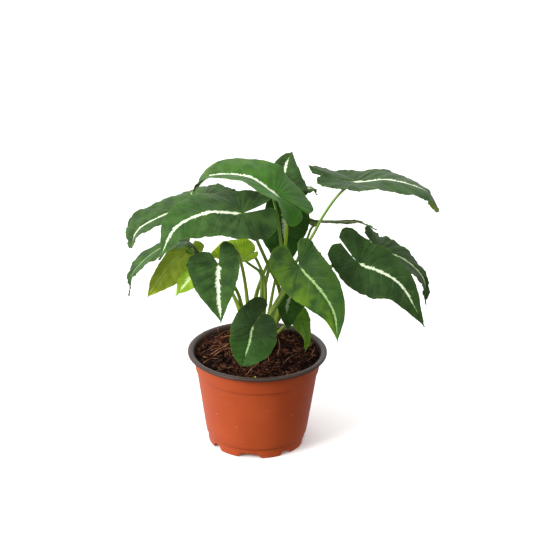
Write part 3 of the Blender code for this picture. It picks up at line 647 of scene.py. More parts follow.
def make_shoot(name, shoot, thickness, look):
    """One stem of the clump, its leaf stalks with the sheaths at their feet, and its rolled young leaf."""
    heap = Heap()
    heights = np.linspace(STEM_BOTTOM, shoot.top[2], STEM_POINTS)
    share = np.linspace(0, 1, STEM_POINTS)
    radii = shoot.radius * (1.0 - 0.18 * share) * np.where(share > 0.95, 0.7, 1)
    heap.add_tube(np.array([shoot_axis(shoot, height) for height in heights]), radii, STEM_SIDES, 0.1 * share)
    share = np.linspace(0, 1, STALK_POINTS)
    for leaf_name, leaf in LEAVES.items():
        if leaf.shoot == name:
            swollen = SWOLLEN * np.exp(-(((share - 0.95) / 0.03) ** 2))
            sheath = SHEATH * (1 - smooth(0.0, 0.35, share))
            radii = thickness * leaf.thick * (1.75 - 0.75 * share + swollen + sheath)
            heap.add_tube(stalk_path(leaf), radii, STALK_SIDES, share, STALK_GROOVE, leaf.face,
                          seed_of(leaf_name) % 17)
    if name == SCALE_SHOOT:
        for x, y, above, radius, tone in SCALES:
            foot = np.array([x, y, soil_height(x, y) + above - 0.5])
            path = foot + np.linspace(0, 1, SCALE_POINTS)[:, None] * (SCALE_REACH * radius)
            radii = 0.7 * radius * np.sin(np.linspace(0.5, 3.05, SCALE_POINTS))
            heap.add_tube(path, radii, STALK_SIDES, tone)
    if name == SPEAR_SHOOT:
        rolled = 1.15 + 0.35 * np.exp(-(((share - 0.82) / 0.12) ** 2))
        radii = rolled * (1 - 0.85 * smooth(0.88, 1.0, share))
        shade = 0.6 + 0.8 * smooth(0.6, 0.8, share)
        path = path_points(SPEAR, STALK_POINTS)
        heap.add_tube(path, radii, STALK_SIDES, shade, SPEAR_GROOVE, SPEAR_SEAM)
    return heap.build(f"stalks_{name}", look)


# Pot


def pot_profile():
    """The pot's section as (radius, height): the dark inside with the lip, then the terracotta outside."""
    rim, top, brim, floor = LIP_RADIUS, POT_HEIGHT, LIP_RADIUS - LIP_WIDTH, FLOOR_HEIGHT + WALL
    inside = [
        (0, WALL), (PAD_RADIUS - 0.4, WALL), (PAD_RADIUS - 0.4 + PAD_SLOPE, floor),
        (BODY_FOOT_RADIUS - WALL - LEDGE, floor), (BODY_FOOT_RADIUS - WALL, FOOT_HEIGHT + WALL),
        (BODY_TOP_RADIUS - WALL, COLLAR_HEIGHT - LEDGE), (COLLAR_RADIUS - WALL, COLLAR_HEIGHT + LEDGE / 2),
        (brim - 1.0, top - 3.4), (brim - 0.1, top - 1.2), (brim + 1.0, top - 0.3), (rim - 3.0, top),
        (rim - 1.1, top - 0.1), (rim - 0.2, top - 0.8), (rim, top - 1.7), (rim - 0.2, top - LIP_DROP),
        (rim - WALL, top - LIP_DROP), (rim - WALL, top - WALL - 0.5),
        (COLLAR_TOP_RADIUS + 0.6, top - WALL - 0.5),
    ]
    outside = [
        (COLLAR_TOP_RADIUS, top - WALL - 1.4), (COLLAR_RADIUS + 0.15, COLLAR_HEIGHT + 1.0),
        (BODY_TOP_RADIUS + 0.15, COLLAR_HEIGHT - LEDGE), (BODY_FOOT_RADIUS + 0.9, FOOT_HEIGHT + 5.0),
        (BODY_FOOT_RADIUS, FOOT_HEIGHT + 0.5), (FOOT_RADIUS, FOOT_HEIGHT - 0.4), (FOOT_RADIUS - 0.3, 0.8),
        (FOOT_RADIUS - 0.7, 0), (FOOT_RADIUS - WALL - 0.4, 0), (FOOT_RADIUS - WALL - 0.6, FLOOR_HEIGHT),
        (PAD_RADIUS + PAD_SLOPE, FLOOR_HEIGHT), (PAD_RADIUS, 0), (0, 0),
    ]
    return inside, outside


def rounded(corners, radius):
    """The path through corners with each one but the ends cut by a small arc of CORNER_POINTS points."""
    corners = np.array(corners, float)
    out = [np.repeat(corners[:1], CORNER_POINTS, 0)]
    for before, corner, after in zip(corners, corners[1:], corners[2:]):
        reach = [min(radius, 0.45 * np.linalg.norm(other - corner)) for other in (before, after)]
        first, last = (corner + unit(other - corner) * r for other, r in zip((before, after), reach))
        t = np.linspace(0, 1, CORNER_POINTS)[:, None]
        out.append(first * (1 - t) ** 2 + 2 * corner * t * (1 - t) + last * t**2)
    return np.vstack([*out, corners[-1:]])


def notch_height(angle):
    """How far the foot ring's edge is raised at each angle: drainage notches, wide and narrow by turns."""
    height = np.zeros_like(angle)
    for i in range(NOTCHES):
        width = NARROW_NOTCH if i % 2 else WIDE_NOTCH
        turn = (angle - NOTCH_PHASE - i * math.tau / NOTCHES + math.pi) % math.tau - math.pi
        start, end = (share * width for share in NOTCH_CORNER)
        edge = smooth(start, end, np.abs(turn) * FOOT_RADIUS)
        height = np.maximum(height, NOTCH_HEIGHT * (1 - edge))
    return height


def drain_cutter():
    """Short rods where the floor's drain holes go."""
    bm = bmesh.new()
    for i in range(NOTCHES):
        turn = Matrix.Rotation(NOTCH_PHASE + i * math.tau / NOTCHES, 4, "Z")
        place = Matrix.Translation((DRAIN_CIRCLE * MM, 0, (FLOOR_HEIGHT + 0.5) * MM))
        bmesh.ops.create_cone(bm, cap_ends=True, segments=DRAIN_SIDES, radius1=DRAIN_RADIUS * MM,
                              radius2=DRAIN_RADIUS * MM, depth=5 * MM, matrix=turn @ place)
    mesh = bpy.data.meshes.new("drain_cutter")
    bm.to_mesh(mesh)
    bm.free()
    return add_object("drain_cutter", mesh)


def make_pot(sides, outside_look, inside_look):
    """The nursery pot, turned from its section, with notches in the foot ring and holes in the floor."""
    inside, outside = pot_profile()
    section = rounded(inside + outside, CORNER_RADIUS)
    dark = len(inside) * CORNER_POINTS - CORNER_POINTS // 2
    angle = np.linspace(0, math.tau, sides, endpoint=False)
    radius, height = section[:, :1], section[:, 1:]
    in_ring = (height < FLOOR_HEIGHT) & (radius > PAD_RADIUS + PAD_SLOPE + 1)
    in_ring = in_ring & (np.arange(len(section)) > dark)[:, None]
    raised = notch_height(angle)[None]
    top = np.where(in_ring, raised + height * (FLOOR_HEIGHT - raised) / FLOOR_HEIGHT, height)
    places = np.stack(np.broadcast_arrays(radius * np.cos(angle), radius * np.sin(angle), top), -1)
    faces = grid_faces(len(section) - 1, sides)[:, [0, 3, 2, 1]].tolist()
    pot = add_mesh("nursery_pot", places.reshape(-1, 3) * MM, faces, outside_look, inside_look)
    pot.data.polygons.foreach_set("material_index", (np.arange(len(faces)) // sides < dark).astype(np.int32))
    weld(pot.data, 0.005, outward=True)
    boolean = pot.modifiers.new("Drains", "BOOLEAN")
    boolean.operation = "DIFFERENCE"
    boolean.object = drain_cutter()
    drained = bpy.data.meshes.new_from_object(pot.evaluated_get(bpy.context.evaluated_depsgraph_get()))
    bpy.data.objects.remove(boolean.object)
    pot.modifiers.clear()
    pot.data = drained
    return pot


# Soil


def soil_height(x, y):
    """Height of the packed soil's surface: a low mound with clods."""
    reach = math.hypot(x, y) / COLLAR_RADIUS
    here = Vector((x / CLOD_SIZE, y / CLOD_SIZE, 0))
    clods = noise.noise(here) + 0.6 * noise.noise(here * 2.3 + Vector((7, 3, 0)))
    return SOIL_TOP - SOIL_EDGE_DROP * reach**2 + SOIL_RISE * y + CLOD_HEIGHT * clods


def rough_soil(x, y):
    """How high crumbs of 4, 2 and 1 mm stand over the packed soil, and sink under it."""
    here = Vector((x, y, 0))
    crumbs = 2.0 * abs(noise.noise(here / 4.3)) + 1.4 * noise.noise(here / 2.1 + Vector((3, 9, 0)))
    return crumbs + 0.5 * noise.noise(here / 0.9) - 0.8


def make_soil_bed(look):
    """The soil as a closed plug with a crumbly top."""
    radius = SOIL_RADIUS * np.linspace(0, 1, SOIL_RINGS + 1)[1:]
    angle = np.linspace(0, math.tau, SOIL_SIDES, endpoint=False)
    x, y = (radius[:, None] * f(angle) for f in (np.cos, np.sin))
    spots = [(0.0, 0.0), *zip(x.ravel(), y.ravel())]
    rough = np.array([rough_soil(*spot) for spot in spots])
    top = [(*spot, soil_height(*spot) + rise) for spot, rise in zip(spots, rough)]
    foot = 0.95 * SOIL_RADIUS
    rim = [(foot * math.cos(a), foot * math.sin(a), SOIL_BOTTOM) for a in angle]
    ring = np.arange(SOIL_SIDES)
    faces = [(0, 1 + i, 1 + (i + 1) % SOIL_SIDES) for i in ring]
    faces += (grid_faces(SOIL_RINGS, SOIL_SIDES) + 1).tolist()
    faces.append(tuple(1 + SOIL_RINGS * SOIL_SIDES + i for i in ring[::-1]))
    # The shade follows the crumbs' height: painted shade in the hollows between them, lighter on their tops
    shade = np.concatenate([np.clip(0.42 + 0.3 * rough, 0.05, 0.85), np.full(SOIL_SIDES, 0.3)])
    heap = Heap()
    heap.add(np.array([*top, *rim]) * MM, faces, shade)
    return heap.build("soil_bed", look)


def soil_spot(draw, reach=49.0):
    """A random place on the soil."""
    radius, angle = reach * math.sqrt(draw.random()), draw.uniform(0, math.tau)
    x, y = radius * math.cos(angle), radius * math.sin(angle)
    return np.array([x, y, soil_height(x, y)])


def tilted(places, about_z, about_x, about_y):
    """Places turned about Y, then X, then Z."""
    turns = zip((about_z, about_x, about_y), "ZXY")
    first, second, third = (Matrix.Rotation(angle, 3, axis) for angle, axis in turns)
    return places @ np.array(first @ second @ third).T


def make_crumbs(count, look):
    """Flakes and clods of peat, bark chips and a few pale grains strewn on the soil."""
    draw = np.random.default_rng(CRUMB_SEED)
    bm = bmesh.new()
    bmesh.ops.create_icosphere(bm, subdivisions=2, radius=1.0)
    ball = np.array([vert.co[:] for vert in bm.verts])
    faces = [[vert.index for vert in face.verts] for face in bm.faces]
    bm.free()
    heap = Heap()
    for i in range(count):
        size = 0.4 + 1.3 * draw.random() ** 3
        shape = (draw.uniform(1.0, 2.2), draw.uniform(0.6, 1.1), draw.uniform(0.3, 0.8))
        lumps = 1 + 0.35 * np.sin(ball @ draw.normal(0, 3.2, 3) + draw.uniform(0, 6))[:, None]
        lumps = lumps + draw.normal(0, 0.1, lumps.shape)
        angles = draw.uniform(0, math.tau), draw.normal(0, 0.7), draw.normal(0, 0.5)
        shade = 1.4 if i % 97 == 5 else draw.beta(1.3, 3.0) * 0.95
        places = tilted(ball * lumps * shape * (0.4 if shade > 1 else size), *angles)
        heap.add((places + soil_spot(draw) + (0, 0, 0.4 + 0.3 * size)) * MM, faces, shade)
    for x, y, length, width, angle, shade in CHIPS:
        lumps = 1 + draw.normal(0, 0.12, (len(ball), 1))
        places = tilted(ball * lumps * (length / 2, width / 2, 0.5), math.radians(angle), 0.0, 0.35)
        heap.add((places + (x, y, soil_height(x, y) + 1.6)) * MM, faces, shade)
    return heap.build("peat_crumbs", look)


def add_fibre(heap, points, radius, shade):
    """One tapering fibre through points in millimetres."""
    path = path_points(points, max(3 * len(points), 16))
    heap.add_tube(path, radius * np.linspace(1, 0.4, len(path)), FIBRE_SIDES, shade)


def make_fibres(tangles, look):
    """Coir fibres: tangled bundles that lie on the soil, and the long ones that stand out."""
    draw = np.random.default_rng(FIBRE_SEED)
    heap = Heap()
    for points, radius, shade in LONG_FIBRES:
        add_fibre(heap, [(x, y, soil_height(x, y) + above + 0.4) for x, y, above in points], radius, shade)
    for _ in range(tangles):
        middle, lie, spread = soil_spot(draw, 47.0), draw.uniform(0, math.tau), draw.uniform(0.2, 1.2)
        for _ in range(draw.integers(4, 12)):
            here = middle + (*draw.normal(0, 2.2, 2), draw.uniform(0.4, 1.8))
            heading, length = lie + draw.normal(0, spread), draw.uniform(3, 11)
            turn, rise = draw.normal(0, 0.7), draw.normal(0.05, 0.2)
            places = []
            while len(places) <= FIBRE_STEPS and math.hypot(*here[:2]) <= STREWN_RADIUS:
                places.append((*here[:2], max(here[2], soil_height(*here[:2]) + 0.4)))
                heading += turn * 0.4 + draw.normal(0, 0.2)
                rise = 0.8 * rise + draw.normal(0, 0.12)
                here = here + np.array([math.cos(heading), math.sin(heading), rise]) * length / FIBRE_STEPS
            if len(places) > 3:
                add_fibre(heap, places, draw.uniform(0.1, 0.3), draw.beta(1.2, 1.8) * 1.1)
    return heap.build("coir_fibres", look)


# Materials. A list feeds a node's inputs in their order: MapRange has the value, the range that it comes
# from and the range that it is brought to.


def feed(tree, node, sockets):
    """Sets a node's inputs, by name or number or in their order, or links them to other nodes' outputs."""
    for socket, value in sockets.items() if isinstance(sockets, dict) else enumerate(sockets):
        if isinstance(value, bpy.types.NodeSocket):
            tree.links.new(value, node.inputs[socket])
        else:
            node.inputs[socket].default_value = value


def add_node(tree, kind, sockets=(), **settings):
    """Adds a shader node with its settings and its inputs, and gives its outputs."""
    made = tree.nodes.new("ShaderNode" + kind)
    for name, value in settings.items():
        setattr(made, name, value)
    feed(tree, made, sockets)
    return made.outputs


def rgba(colour):
    """A colour input's value, from a hex colour or a linear RGB. A node's output stays as it is."""
    if isinstance(colour, bpy.types.NodeSocket):
        return colour
    return (*(linear(colour) if isinstance(colour, str) else colour), 1.0)


def new_material(name):
    """A material with a Principled shader, and what adds nodes to its tree."""
    made = bpy.data.materials.new(name)
    made.use_nodes = True
    return made, partial(add_node, made.node_tree)


def finish_material(made, colour, layers=(), sockets=(), bump=None):
    """Lays the layers over the colour, each by its share, and gives the shader its colour, inputs and bump.

    bump is a height with the strength and the depth in metres of the relief that it draws.
    """
    tree = made.node_tree
    colour = rgba(colour)
    for share, layer in layers:
        colour = add_node(tree, "Mix", {0: share, 6: colour, 7: rgba(layer)}, data_type="RGBA")[2]
    feeds = {"Base Color": colour, **dict(sockets)}
    if bump:
        feeds["Normal"] = add_node(tree, "Bump", dict(zip(("Height", "Strength", "Distance"), bump)))[0]
    feed(tree, tree.nodes["Principled BSDF"], feeds)
    return made


def leaf_material(name, deep, light, vein, stripe, glow, fresh, roughness):
    """A leaf's surface, drawn in the leaf's own coordinates.

    It reads the UV map vein (share of the way from the lobe's back to the tip, and of the way to the margin)
    and the attributes away (millimetres from the rib), dim (painted shade) and paint (stripe, glow, fresh and
    pale), where glow is painted light coming through the blade.
    """
    made, node = new_material(name)
    ease = {"interpolation_type": "SMOOTHSTEP"}
    vein_map = node("UVMap", uv_map="vein")[0]
    along, across, _ = node("SeparateXYZ", [vein_map])
    across = node("Math", [across], operation="ABSOLUTE")[0]
    paint = node("Attribute", attribute_name="paint")
    stripe_width, glowing, freshness = node("SeparateColor", [paint["Color"]])
    away, painted_shade = (node("Attribute", attribute_name=attribute)["Fac"] for attribute in ("away", "painted_shade"))
    place = node("TexCoord")["Object"]

    # Cloudy green over 9 mm, a fine grain of 0.9 mm, and patches of 13 mm where light comes through
    clouds, grain, patches = (
        node("TexNoise", {"Vector": place, "Scale": scale, "Detail": detail})[0]
        for scale, detail in ((110.0, 3.0), (1100.0, 2.0), (75.0, 2.0)))
    freshest = node("MapRange", [clouds, 0.2, 0.6, 0.7, 1.0], **ease)[0]

    # Side veins from the lobe's back to the tip, and the vein that runs along the margin
    number = node("Math", [along, float(SIDE_VEINS)], operation="MULTIPLY")[0]
    off_vein = node("Math", [number, 0.5], operation="PINGPONG")[0]
    inner = node("MapRange", [across, 1.0, 0.25], **ease)[0]
    side_vein = node("MapRange", [off_vein, 0.06, 0.01, 0.0, inner], **ease)[0]
    off_hem = node("Math", [node("Math", [across, 0.9], operation="SUBTRACT")[0]], operation="ABSOLUTE")[0]
    hem_vein = node("MapRange", [off_hem, 0.018, 0.0, 0.0, 0.6], **ease)[0]
    lines = node("Math", [side_vein, hem_vein], operation="MAXIMUM")[0]

    # The stripe along the rib: its edge runs out in teeth of about a millimetre along the side veins
    teeth, slow = (
        node("TexNoise", {"Vector": node("VectorMath", [vein_map, stretch], operation="MULTIPLY")[0],
                          "Scale": 1.0, "Detail": detail, "Roughness": rough})[0]
        for stretch, detail, rough in (((150.0, 2.2, 1.0), 3.0, 0.65), ((34.0, 1.0, 1.0), 2.0, 0.5)))
    teeth = node("MapRange", [teeth, 0.25, 0.8, 0.2, 1.3], **ease)[0]
    slow = node("MapRange", [slow, 0.3, 0.7, -0.15, 0.35], **ease)[0]
    swing = node("Math", [teeth, slow], operation="ADD")[0]
    half_width = node("Math", [stripe_width, swing], operation="MULTIPLY")[0]
    inside = node("Math", [half_width, away], operation="SUBTRACT")[0]
    there = node("Math", [half_width, 0.08], operation="GREATER_THAN")[0]
    # The core turns from white to the edge's light green by pale: partly the stripe's own tint, partly painted
    # shade on stripes that lie in shade
    core = node("Mix", {0: paint["Alpha"], 6: rgba("#DFE5D0"), 7: rgba(stripe)}, data_type="RGBA")[2]
    edge = node("MapRange", [inside, 0.0, 0.75], **ease)[0]
    stripe_colour = node("Mix", {0: edge, 6: rgba(stripe), 7: core}, data_type="RGBA")[2]

    layers = (
        (node("MapRange", [clouds, 0.32, 0.68], **ease)[0], light),
        (node("Math", [freshness, freshest], operation="MULTIPLY")[0], fresh),
        # Painted shade: a blade that lies in shade is darkened towards deep green by its share
        (painted_shade, "#16240E"),
        (node("MapRange", [patches, 0.35, 0.62, 0.0, glowing], **ease)[0], glow),
        (node("Math", [lines, 0.28], operation="MULTIPLY")[0], vein),
        # A thin rim of the glow colour along the margin: painted light coming through the thin edge
        (node("MapRange", [across, 0.965, 0.995, 0.0, 0.35], **ease)[0], glow),
        (node("MapRange", [grain, 0.3, 0.8, 0.0, 0.12], **ease)[0], vein),
        (node("MapRange", [inside, -0.12, 0.22, 0.0, there], **ease)[0], stripe_colour),
    )
    sunk = node("Math", [lines, -0.5], operation="MULTIPLY")[0]
    height = node("Math", [grain, 0.35, sunk], operation="MULTIPLY_ADD")[0]
    return finish_material(made, deep, layers, {
        "Roughness": roughness, "IOR": 1.42, "Specular IOR Level": 0.1, "Sheen Weight": 0.08,
        "Subsurface Weight": 0.12, "Subsurface Scale": 0.0012, "Subsurface Radius": (0.5, 1.0, 0.25),
    }, (height, 0.35, 0.0003))


def stalk_material(low, high, bright):
    """Living leaf stalk: smooth, waxy skin over wet green tissue, pale at its foot, streaked lengthwise."""
    made, node = new_material("waxy_green_leaf_stalk")
    grain = node("Attribute", attribute_name="grain")["Vector"]
    shade = node("Attribute", attribute_name="shade")["Fac"]
    # Streaks half a millimetre wide and 15 mm long
    streaks = node("TexNoise", {"Vector": grain, "Scale": 2.6, "Detail": 4.0})[0]
    layers = (
        (node("MapRange", [shade, 0.0, 0.75])[0], high),
        (node("MapRange", [streaks, 0.42, 0.7, 0.0, 0.55], interpolation_type="SMOOTHSTEP")[0], bright),
        (node("MapRange", [shade, 1.0, 1.3])[0], "#A9C832"),
    )
    return finish_material(made, low, layers, {
        "Roughness": 0.4, "IOR": 1.42, "Subsurface Weight": 0.15, "Subsurface Scale": 0.0015,
        "Subsurface Radius": (0.6, 1.0, 0.3)}, (streaks, 0.3, 0.0002))


def plastic_material(name, colour, faded, scuff, roughness):
    """Thermoformed polypropylene: satin, slightly cloudy, with pale scuffs and specks from handling."""
    made, node = new_material(name)
    place = node("TexCoord")["Object"]
    slanted = node("Mapping", {"Vector": place, "Rotation": (0.2, 0.1, 0.0), "Scale": (60.0, 60.0, 900.0)})[0]
    # Cloudiness over 30 mm, a moulded grain of 0.7 mm, scuffs drawn 0.4 mm wide so that they show, and
    # specks 10 mm apart
    clouds, grain, scuffs = (
        node("TexNoise", {"Vector": where, "Scale": scale, "Detail": detail})[0]
        for where, scale, detail in ((place, 33.0, 3.0), (place, 1400.0, 2.0), (slanted, 1.0, 3.0)))
    specks = node("TexVoronoi", {"Vector": place, "Scale": 95.0})["Distance"]
    layers = (
        (node("MapRange", [clouds, 0.3, 0.7])[0], faded),
        (node("MapRange", [scuffs, 0.66, 0.78, 0.0, 0.35])[0], scuff),
        (node("MapRange", [specks, 0.07, 0.03, 0.0, 0.5])[0], scuff),
    )
    gloss = node("MapRange", [clouds, 0.3, 0.7, roughness - 0.05, roughness + 0.08])[0]
    values = {"Roughness": gloss, "IOR": 1.49, "Specular IOR Level": 0.24}
    return finish_material(made, colour, layers, values, (grain, 0.12, 0.0002))


def soil_material(name, dark, middle, light, roughness):
    """Damp peat or coir: matt, dark brown, redder and paler where dry, with painted shade in hollows, gritty at
    half a millimetre.
    """
    made, node = new_material(name)
    place = node("TexCoord")["Object"]
    shade = node("Attribute", attribute_name="shade")["Fac"]
    # Patches of 5 mm, and grit of 0.7 mm
    patches, grit = (
        node("TexNoise", {"Vector": place, "Scale": scale, "Detail": detail})[0]
        for scale, detail in ((210.0, 4.0), (1500.0, 3.0)))
    spread = node("MapRange", [patches, 0.35, 0.7, -0.3, 0.35])[0]
    tone = node("Math", [shade, spread], operation="ADD")[0]
    layers = (
        (node("MapRange", [tone, 0.2, 0.6])[0], middle),
        (node("MapRange", [tone, 0.6, 1.1])[0], light),
    )
    values = {"Roughness": roughness, "IOR": 1.4, "Specular IOR Level": 0.15}
    return finish_material(made, dark, layers, values, (grit, 0.8, 0.0006))


# Settings, operators and panel


def colour_property(name, description, default):
    """A colour setting."""
    return FloatVectorProperty(name=name, description=description, subtype="COLOR", size=3, min=0, max=1,
                               default=linear(default))


def length_property(name, description, default):
    """A setting for a small length, given in millimetres."""
    return FloatProperty(name=name, description=description, default=default * MM, min=0.2 * MM, max=3 * MM,
                         subtype="DISTANCE", unit="LENGTH", precision=5)


class PotSettings(bpy.types.PropertyGroup):
    """Settings of the nursery pot."""

    outside: colour_property("Outside", "Colour of the pot's outside", "#A3411A")
    faded: colour_property("Faded outside", "Colour of the paler clouds in the outside", "#AD4A20")
    inside: colour_property("Inside", "Colour of the lip and the inside", "#362A24")
    roughness: FloatProperty(name="Roughness", description="Roughness of the plastic", default=0.5,
                             min=0, max=1, subtype="FACTOR")
    sides: IntProperty(name="Sides", description="Faces round the pot", default=288, min=96, max=720)


class SoilSettings(bpy.types.PropertyGroup):
    """Settings of the soil and what lies on it."""

    dark: colour_property("Damp", "Colour of the damp peat", "#170C08")
    middle: colour_property("Peat", "Colour of the peat's crumbs", "#3E2116")
    light: colour_property("Dry", "Colour of the driest crumbs", "#8A5A42")
    crumbs: IntProperty(name="Crumbs", description="Number of flakes and clods", default=1000,
                        min=0, max=3000)
    tangles: IntProperty(name="Tangles", description="Number of tangles of coir fibre", default=75,
                         min=0, max=300)


class StalkSettings(bpy.types.PropertyGroup):
    """Settings of the stems and leaf stalks."""

    foot: colour_property("Foot", "Colour of the stalks near the soil", "#8FA236")
    top: colour_property("Top", "Colour of the stalks near the blades", "#5E8A2A")
    streak: colour_property("Streak", "Colour of the pale streaks along the stalks", "#AABF56")
    radius: length_property("Radius", "Radius of a stalk under its blade", 1.0)


class BladeSettings(bpy.types.PropertyGroup):
    """Settings of the leaf blades."""

    deep: colour_property("Deep green", "Darkest green of the upper side", "#243C17")
    light: colour_property("Light green", "Lighter green of the upper side", "#385523")
    under: colour_property("Underside", "Green of the underside", "#556B2A")
    fresh: colour_property("Fresh green", "Bright green of the freshest blades", "#33690F")
    glow: colour_property("Glow", "Yellow-green where light comes through", "#64860F")
    stripe: colour_property("Stripe edge", "Light green at the edge of the pale stripe", "#8FAE6C")
    thickness: length_property("Rib thickness", "Thickness at the rib; the blade has a third of it", 1.2)
    rows: IntProperty(name="Rows", description="Grid rows from the lobes to the tip", default=140,
                      min=20, max=300)
    columns: IntProperty(name="Columns", description="Grid columns in each half", default=15, min=4, max=40)


class StageSettings(bpy.types.PropertyGroup):
    """Settings of the floor, the lights and the camera."""

    floor: colour_property("Floor", "Colour of the floor", "#FAFAF9")
    key: FloatProperty(name="Key light", description="Power of the round light at the front left",
                       default=28.0, min=0, unit="POWER")
    sky: FloatProperty(name="Surroundings", description="Strength of the white surroundings", default=0.95,
                       min=0)
    slope: FloatProperty(name="Slope of the surroundings", default=0.9, min=0, max=1, subtype="FACTOR",
                         description="How much brighter the surroundings are at the upper left than opposite")
    lens: FloatProperty(name="Lens", description="Focal length of the camera", default=108.07, min=20,
                        unit="CAMERA")


def seat(piece, slot, *nodes):
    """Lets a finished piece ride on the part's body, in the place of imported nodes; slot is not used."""
    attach(piece, BODY)
    if nodes:
        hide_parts(*nodes)


class ARROWHEAD_OT_stage(bpy.types.Operator):
    """Lays the floor, hangs the light and sets up the surroundings and the camera"""

    bl_idname = "arrowhead.stage"
    bl_label = "Floor, Lights and Camera"

    def execute(self, context):
        settings = context.scene.arrowhead_stage
        scene = context.scene
        board = finish_material(new_material("matt_white_board")[0], settings.floor,
                                sockets={"Roughness": 0.9, "IOR": 1.45})
        corners = [(x * FLOOR_HALF, y * FLOOR_HALF, 0) for x, y in ((-1, -1), (1, -1), (1, 1), (-1, 1))]
        floor = add_mesh("floor", corners, [(0, 1, 2, 3)], board)
        # The board catches the shadow, but its white isn't thrown back on the plant
        floor.visible_diffuse = False
        floor.visible_glossy = False

        # White surroundings, brighter at the back and the upper left than in front
        world = bpy.data.worlds.new("white_surroundings")
        world.use_nodes = True
        node = partial(add_node, world.node_tree)
        towards = node("TexCoord")["Generated"]
        share = node("VectorMath", [towards, WINDOW], operation="DOT_PRODUCT")["Value"]
        weakest, strongest = (settings.sky * (1 + sign * settings.slope) for sign in (-1, 1))
        strength = node("MapRange", [share, -1.0, 1.0, weakest, strongest])[0]
        feed(world.node_tree, world.node_tree.nodes["Background"], [(1, 1, 1, 1), strength])
        scene.world = world

        lamp = bpy.data.lights.new("key_light", "AREA")
        lamp.shape = "DISK"
        lamp.size = LAMP_SIZE
        lamp.energy = settings.key
        light = add_object("key_light", lamp)
        light.location = LAMP_PLACE
        light.rotation_euler = (Vector(LAMP_AIM) - light.location).to_track_quat("-Z", "Y").to_euler()

        camera = bpy.data.cameras.new("camera")
        camera.sensor_width = SENSOR_WIDTH
        camera.lens = settings.lens
        camera.clip_start, camera.clip_end = 0.05, 30.0
        scene.camera = add_object("camera", camera)
        scene.camera.matrix_world = (
            Matrix.Translation(CAMERA_PLACE) @ Matrix.Rotation(math.radians(90) - CAMERA_PITCH, 4, "X")
            @ Matrix.Rotation(CAMERA_ROLL, 4, "Z"))
        scene.view_settings.view_transform = "Standard"
        return {"FINISHED"}


class ARROWHEAD_OT_pot(bpy.types.Operator):
    """Builds the nursery pot"""

    bl_idname = "arrowhead.pot"
    bl_label = "Nursery Pot"

    def execute(self, context):
        settings = context.scene.arrowhead_pot
        # Polypropylene sheet, terracotta outside and dark inside: satin, with the light catching its edges
        outside = plastic_material("thermoformed_terracotta_polypropylene", settings.outside, settings.faded,
                                   "#D9A184", settings.roughness)
        inside = plastic_material("thermoformed_dark_polypropylene", settings.inside, "#40322B", "#8A7C72",
                                  settings.roughness - 0.12)
        seat(make_pot(settings.sides, outside, inside), "pot", "pot")
        return {"FINISHED"}


class ARROWHEAD_OT_soil(bpy.types.Operator):
    """Builds the soil with its clods, chips and fibres"""

    bl_idname = "arrowhead.soil"
    bl_label = "Soil"

    def execute(self, context):
        settings = context.scene.arrowhead_soil
        peat = soil_material("damp_peat", settings.dark, settings.middle, settings.light, 0.95)
        coir = soil_material("coir_fibre", "#3A1B10", "#6E3B26", "#B58763", 0.8)
        seat(make_soil_bed(peat), "soil", "soil")
        seat(make_crumbs(settings.crumbs, peat), "soil")
        seat(make_fibres(settings.tangles, coir), "soil")
        return {"FINISHED"}


class ARROWHEAD_OT_stalks(bpy.types.Operator):
    """Builds the stems of the clump with their leaf stalks"""

    bl_idname = "arrowhead.stalks"
    bl_label = "Stems and Leaf Stalks"

    def execute(self, context):
        settings = context.scene.arrowhead_stalks
        look = stalk_material(settings.foot, settings.top, settings.streak)
        for name, shoot in SHOOTS.items():
            seat(make_shoot(name, shoot, settings.radius / MM, look), "stalk", f"shoot_{name}")
        return {"FINISHED"}


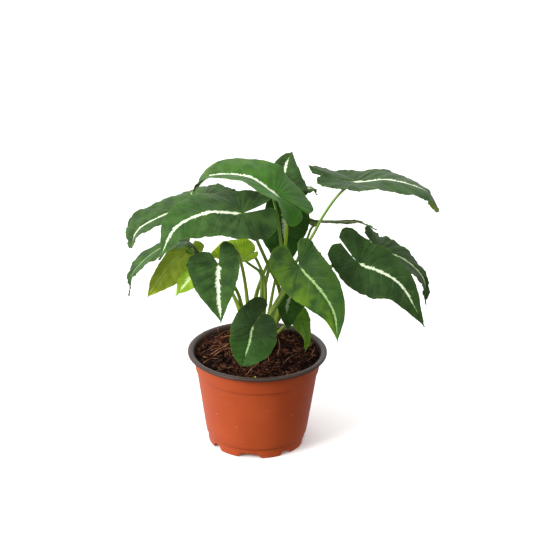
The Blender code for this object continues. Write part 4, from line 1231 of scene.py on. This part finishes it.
class ARROWHEAD_OT_blades(bpy.types.Operator):
    """Builds the leaf blades"""

    bl_idname = "arrowhead.blades"
    bl_label = "Leaf Blades"

    def execute(self, context):
        settings = context.scene.arrowhead_blades
        # Living leaf: a velvety upper side over wet green tissue, duller and yellower below
        upper = leaf_material("velvety_leaf_upper_side", settings.deep, settings.light, "#56774A",
                              settings.stripe, settings.glow, settings.fresh, 0.55)
        under = leaf_material("leaf_underside", "#4C642C", settings.under, "#8CA262", "#B4C48C",
                              "#A3A526", "#8C9A20", 0.6)
        young_upper = leaf_material("young_leaf_upper_side", "#76A01C", "#A2C428", "#BFD264", "#C9DA90",
                                    "#A3BA18", "#3C6E12", 0.45)
        young_under = leaf_material("young_leaf_underside", "#A8C03C", "#C8DA4E", "#DCE49C", "#B4BE92",
                                    "#9AB222", "#50801A", 0.5)
        for name, leaf in LEAVES.items():
            young = name in YOUNG_LEAVES
            looks = (young_upper, young_under) if young else (upper, under)
            blade = make_blade(name, leaf, settings.rows, settings.columns, settings.thickness, looks)
            seat(blade, "young_blade" if young else "blade", f"leaf_{name}")
        return {"FINISHED"}


STEPS = (ARROWHEAD_OT_stage, ARROWHEAD_OT_pot, ARROWHEAD_OT_soil, ARROWHEAD_OT_stalks, ARROWHEAD_OT_blades)
SETTINGS = {
    "arrowhead_pot": PotSettings,
    "arrowhead_soil": SoilSettings,
    "arrowhead_stalks": StalkSettings,
    "arrowhead_blades": BladeSettings,
    "arrowhead_stage": StageSettings,
}


class ARROWHEAD_PT_plant(bpy.types.Panel):
    """Lists the settings and operators of the potted plant"""

    bl_idname = "ARROWHEAD_PT_plant"
    bl_label = "Potted Arrowhead Vine"
    bl_space_type = "VIEW_3D"
    bl_region_type = "UI"
    bl_category = "Plant"

    def draw(self, context):
        for name, group in SETTINGS.items():
            box = self.layout.box()
            for setting in group.__annotations__:
                box.prop(getattr(context.scene, name), setting)
        for step in STEPS:
            self.layout.operator(step.bl_idname)


def register():
    for group in (*SETTINGS.values(), *STEPS, ARROWHEAD_PT_plant):
        bpy.utils.register_class(group)
    for name, group in SETTINGS.items():
        setattr(bpy.types.Scene, name, PointerProperty(type=group))


def unregister():
    for name in SETTINGS:
        delattr(bpy.types.Scene, name)
    for group in (ARROWHEAD_PT_plant, *STEPS, *SETTINGS.values()):
        bpy.utils.unregister_class(group)


def main():
    register()
    for step in STEPS:
        family, name = step.bl_idname.split(".")
        if getattr(getattr(bpy.ops, family), name)() != {"FINISHED"}:
            raise RuntimeError(f"{step.bl_label} didn't finish")


if __name__ == "__main__":
    main()
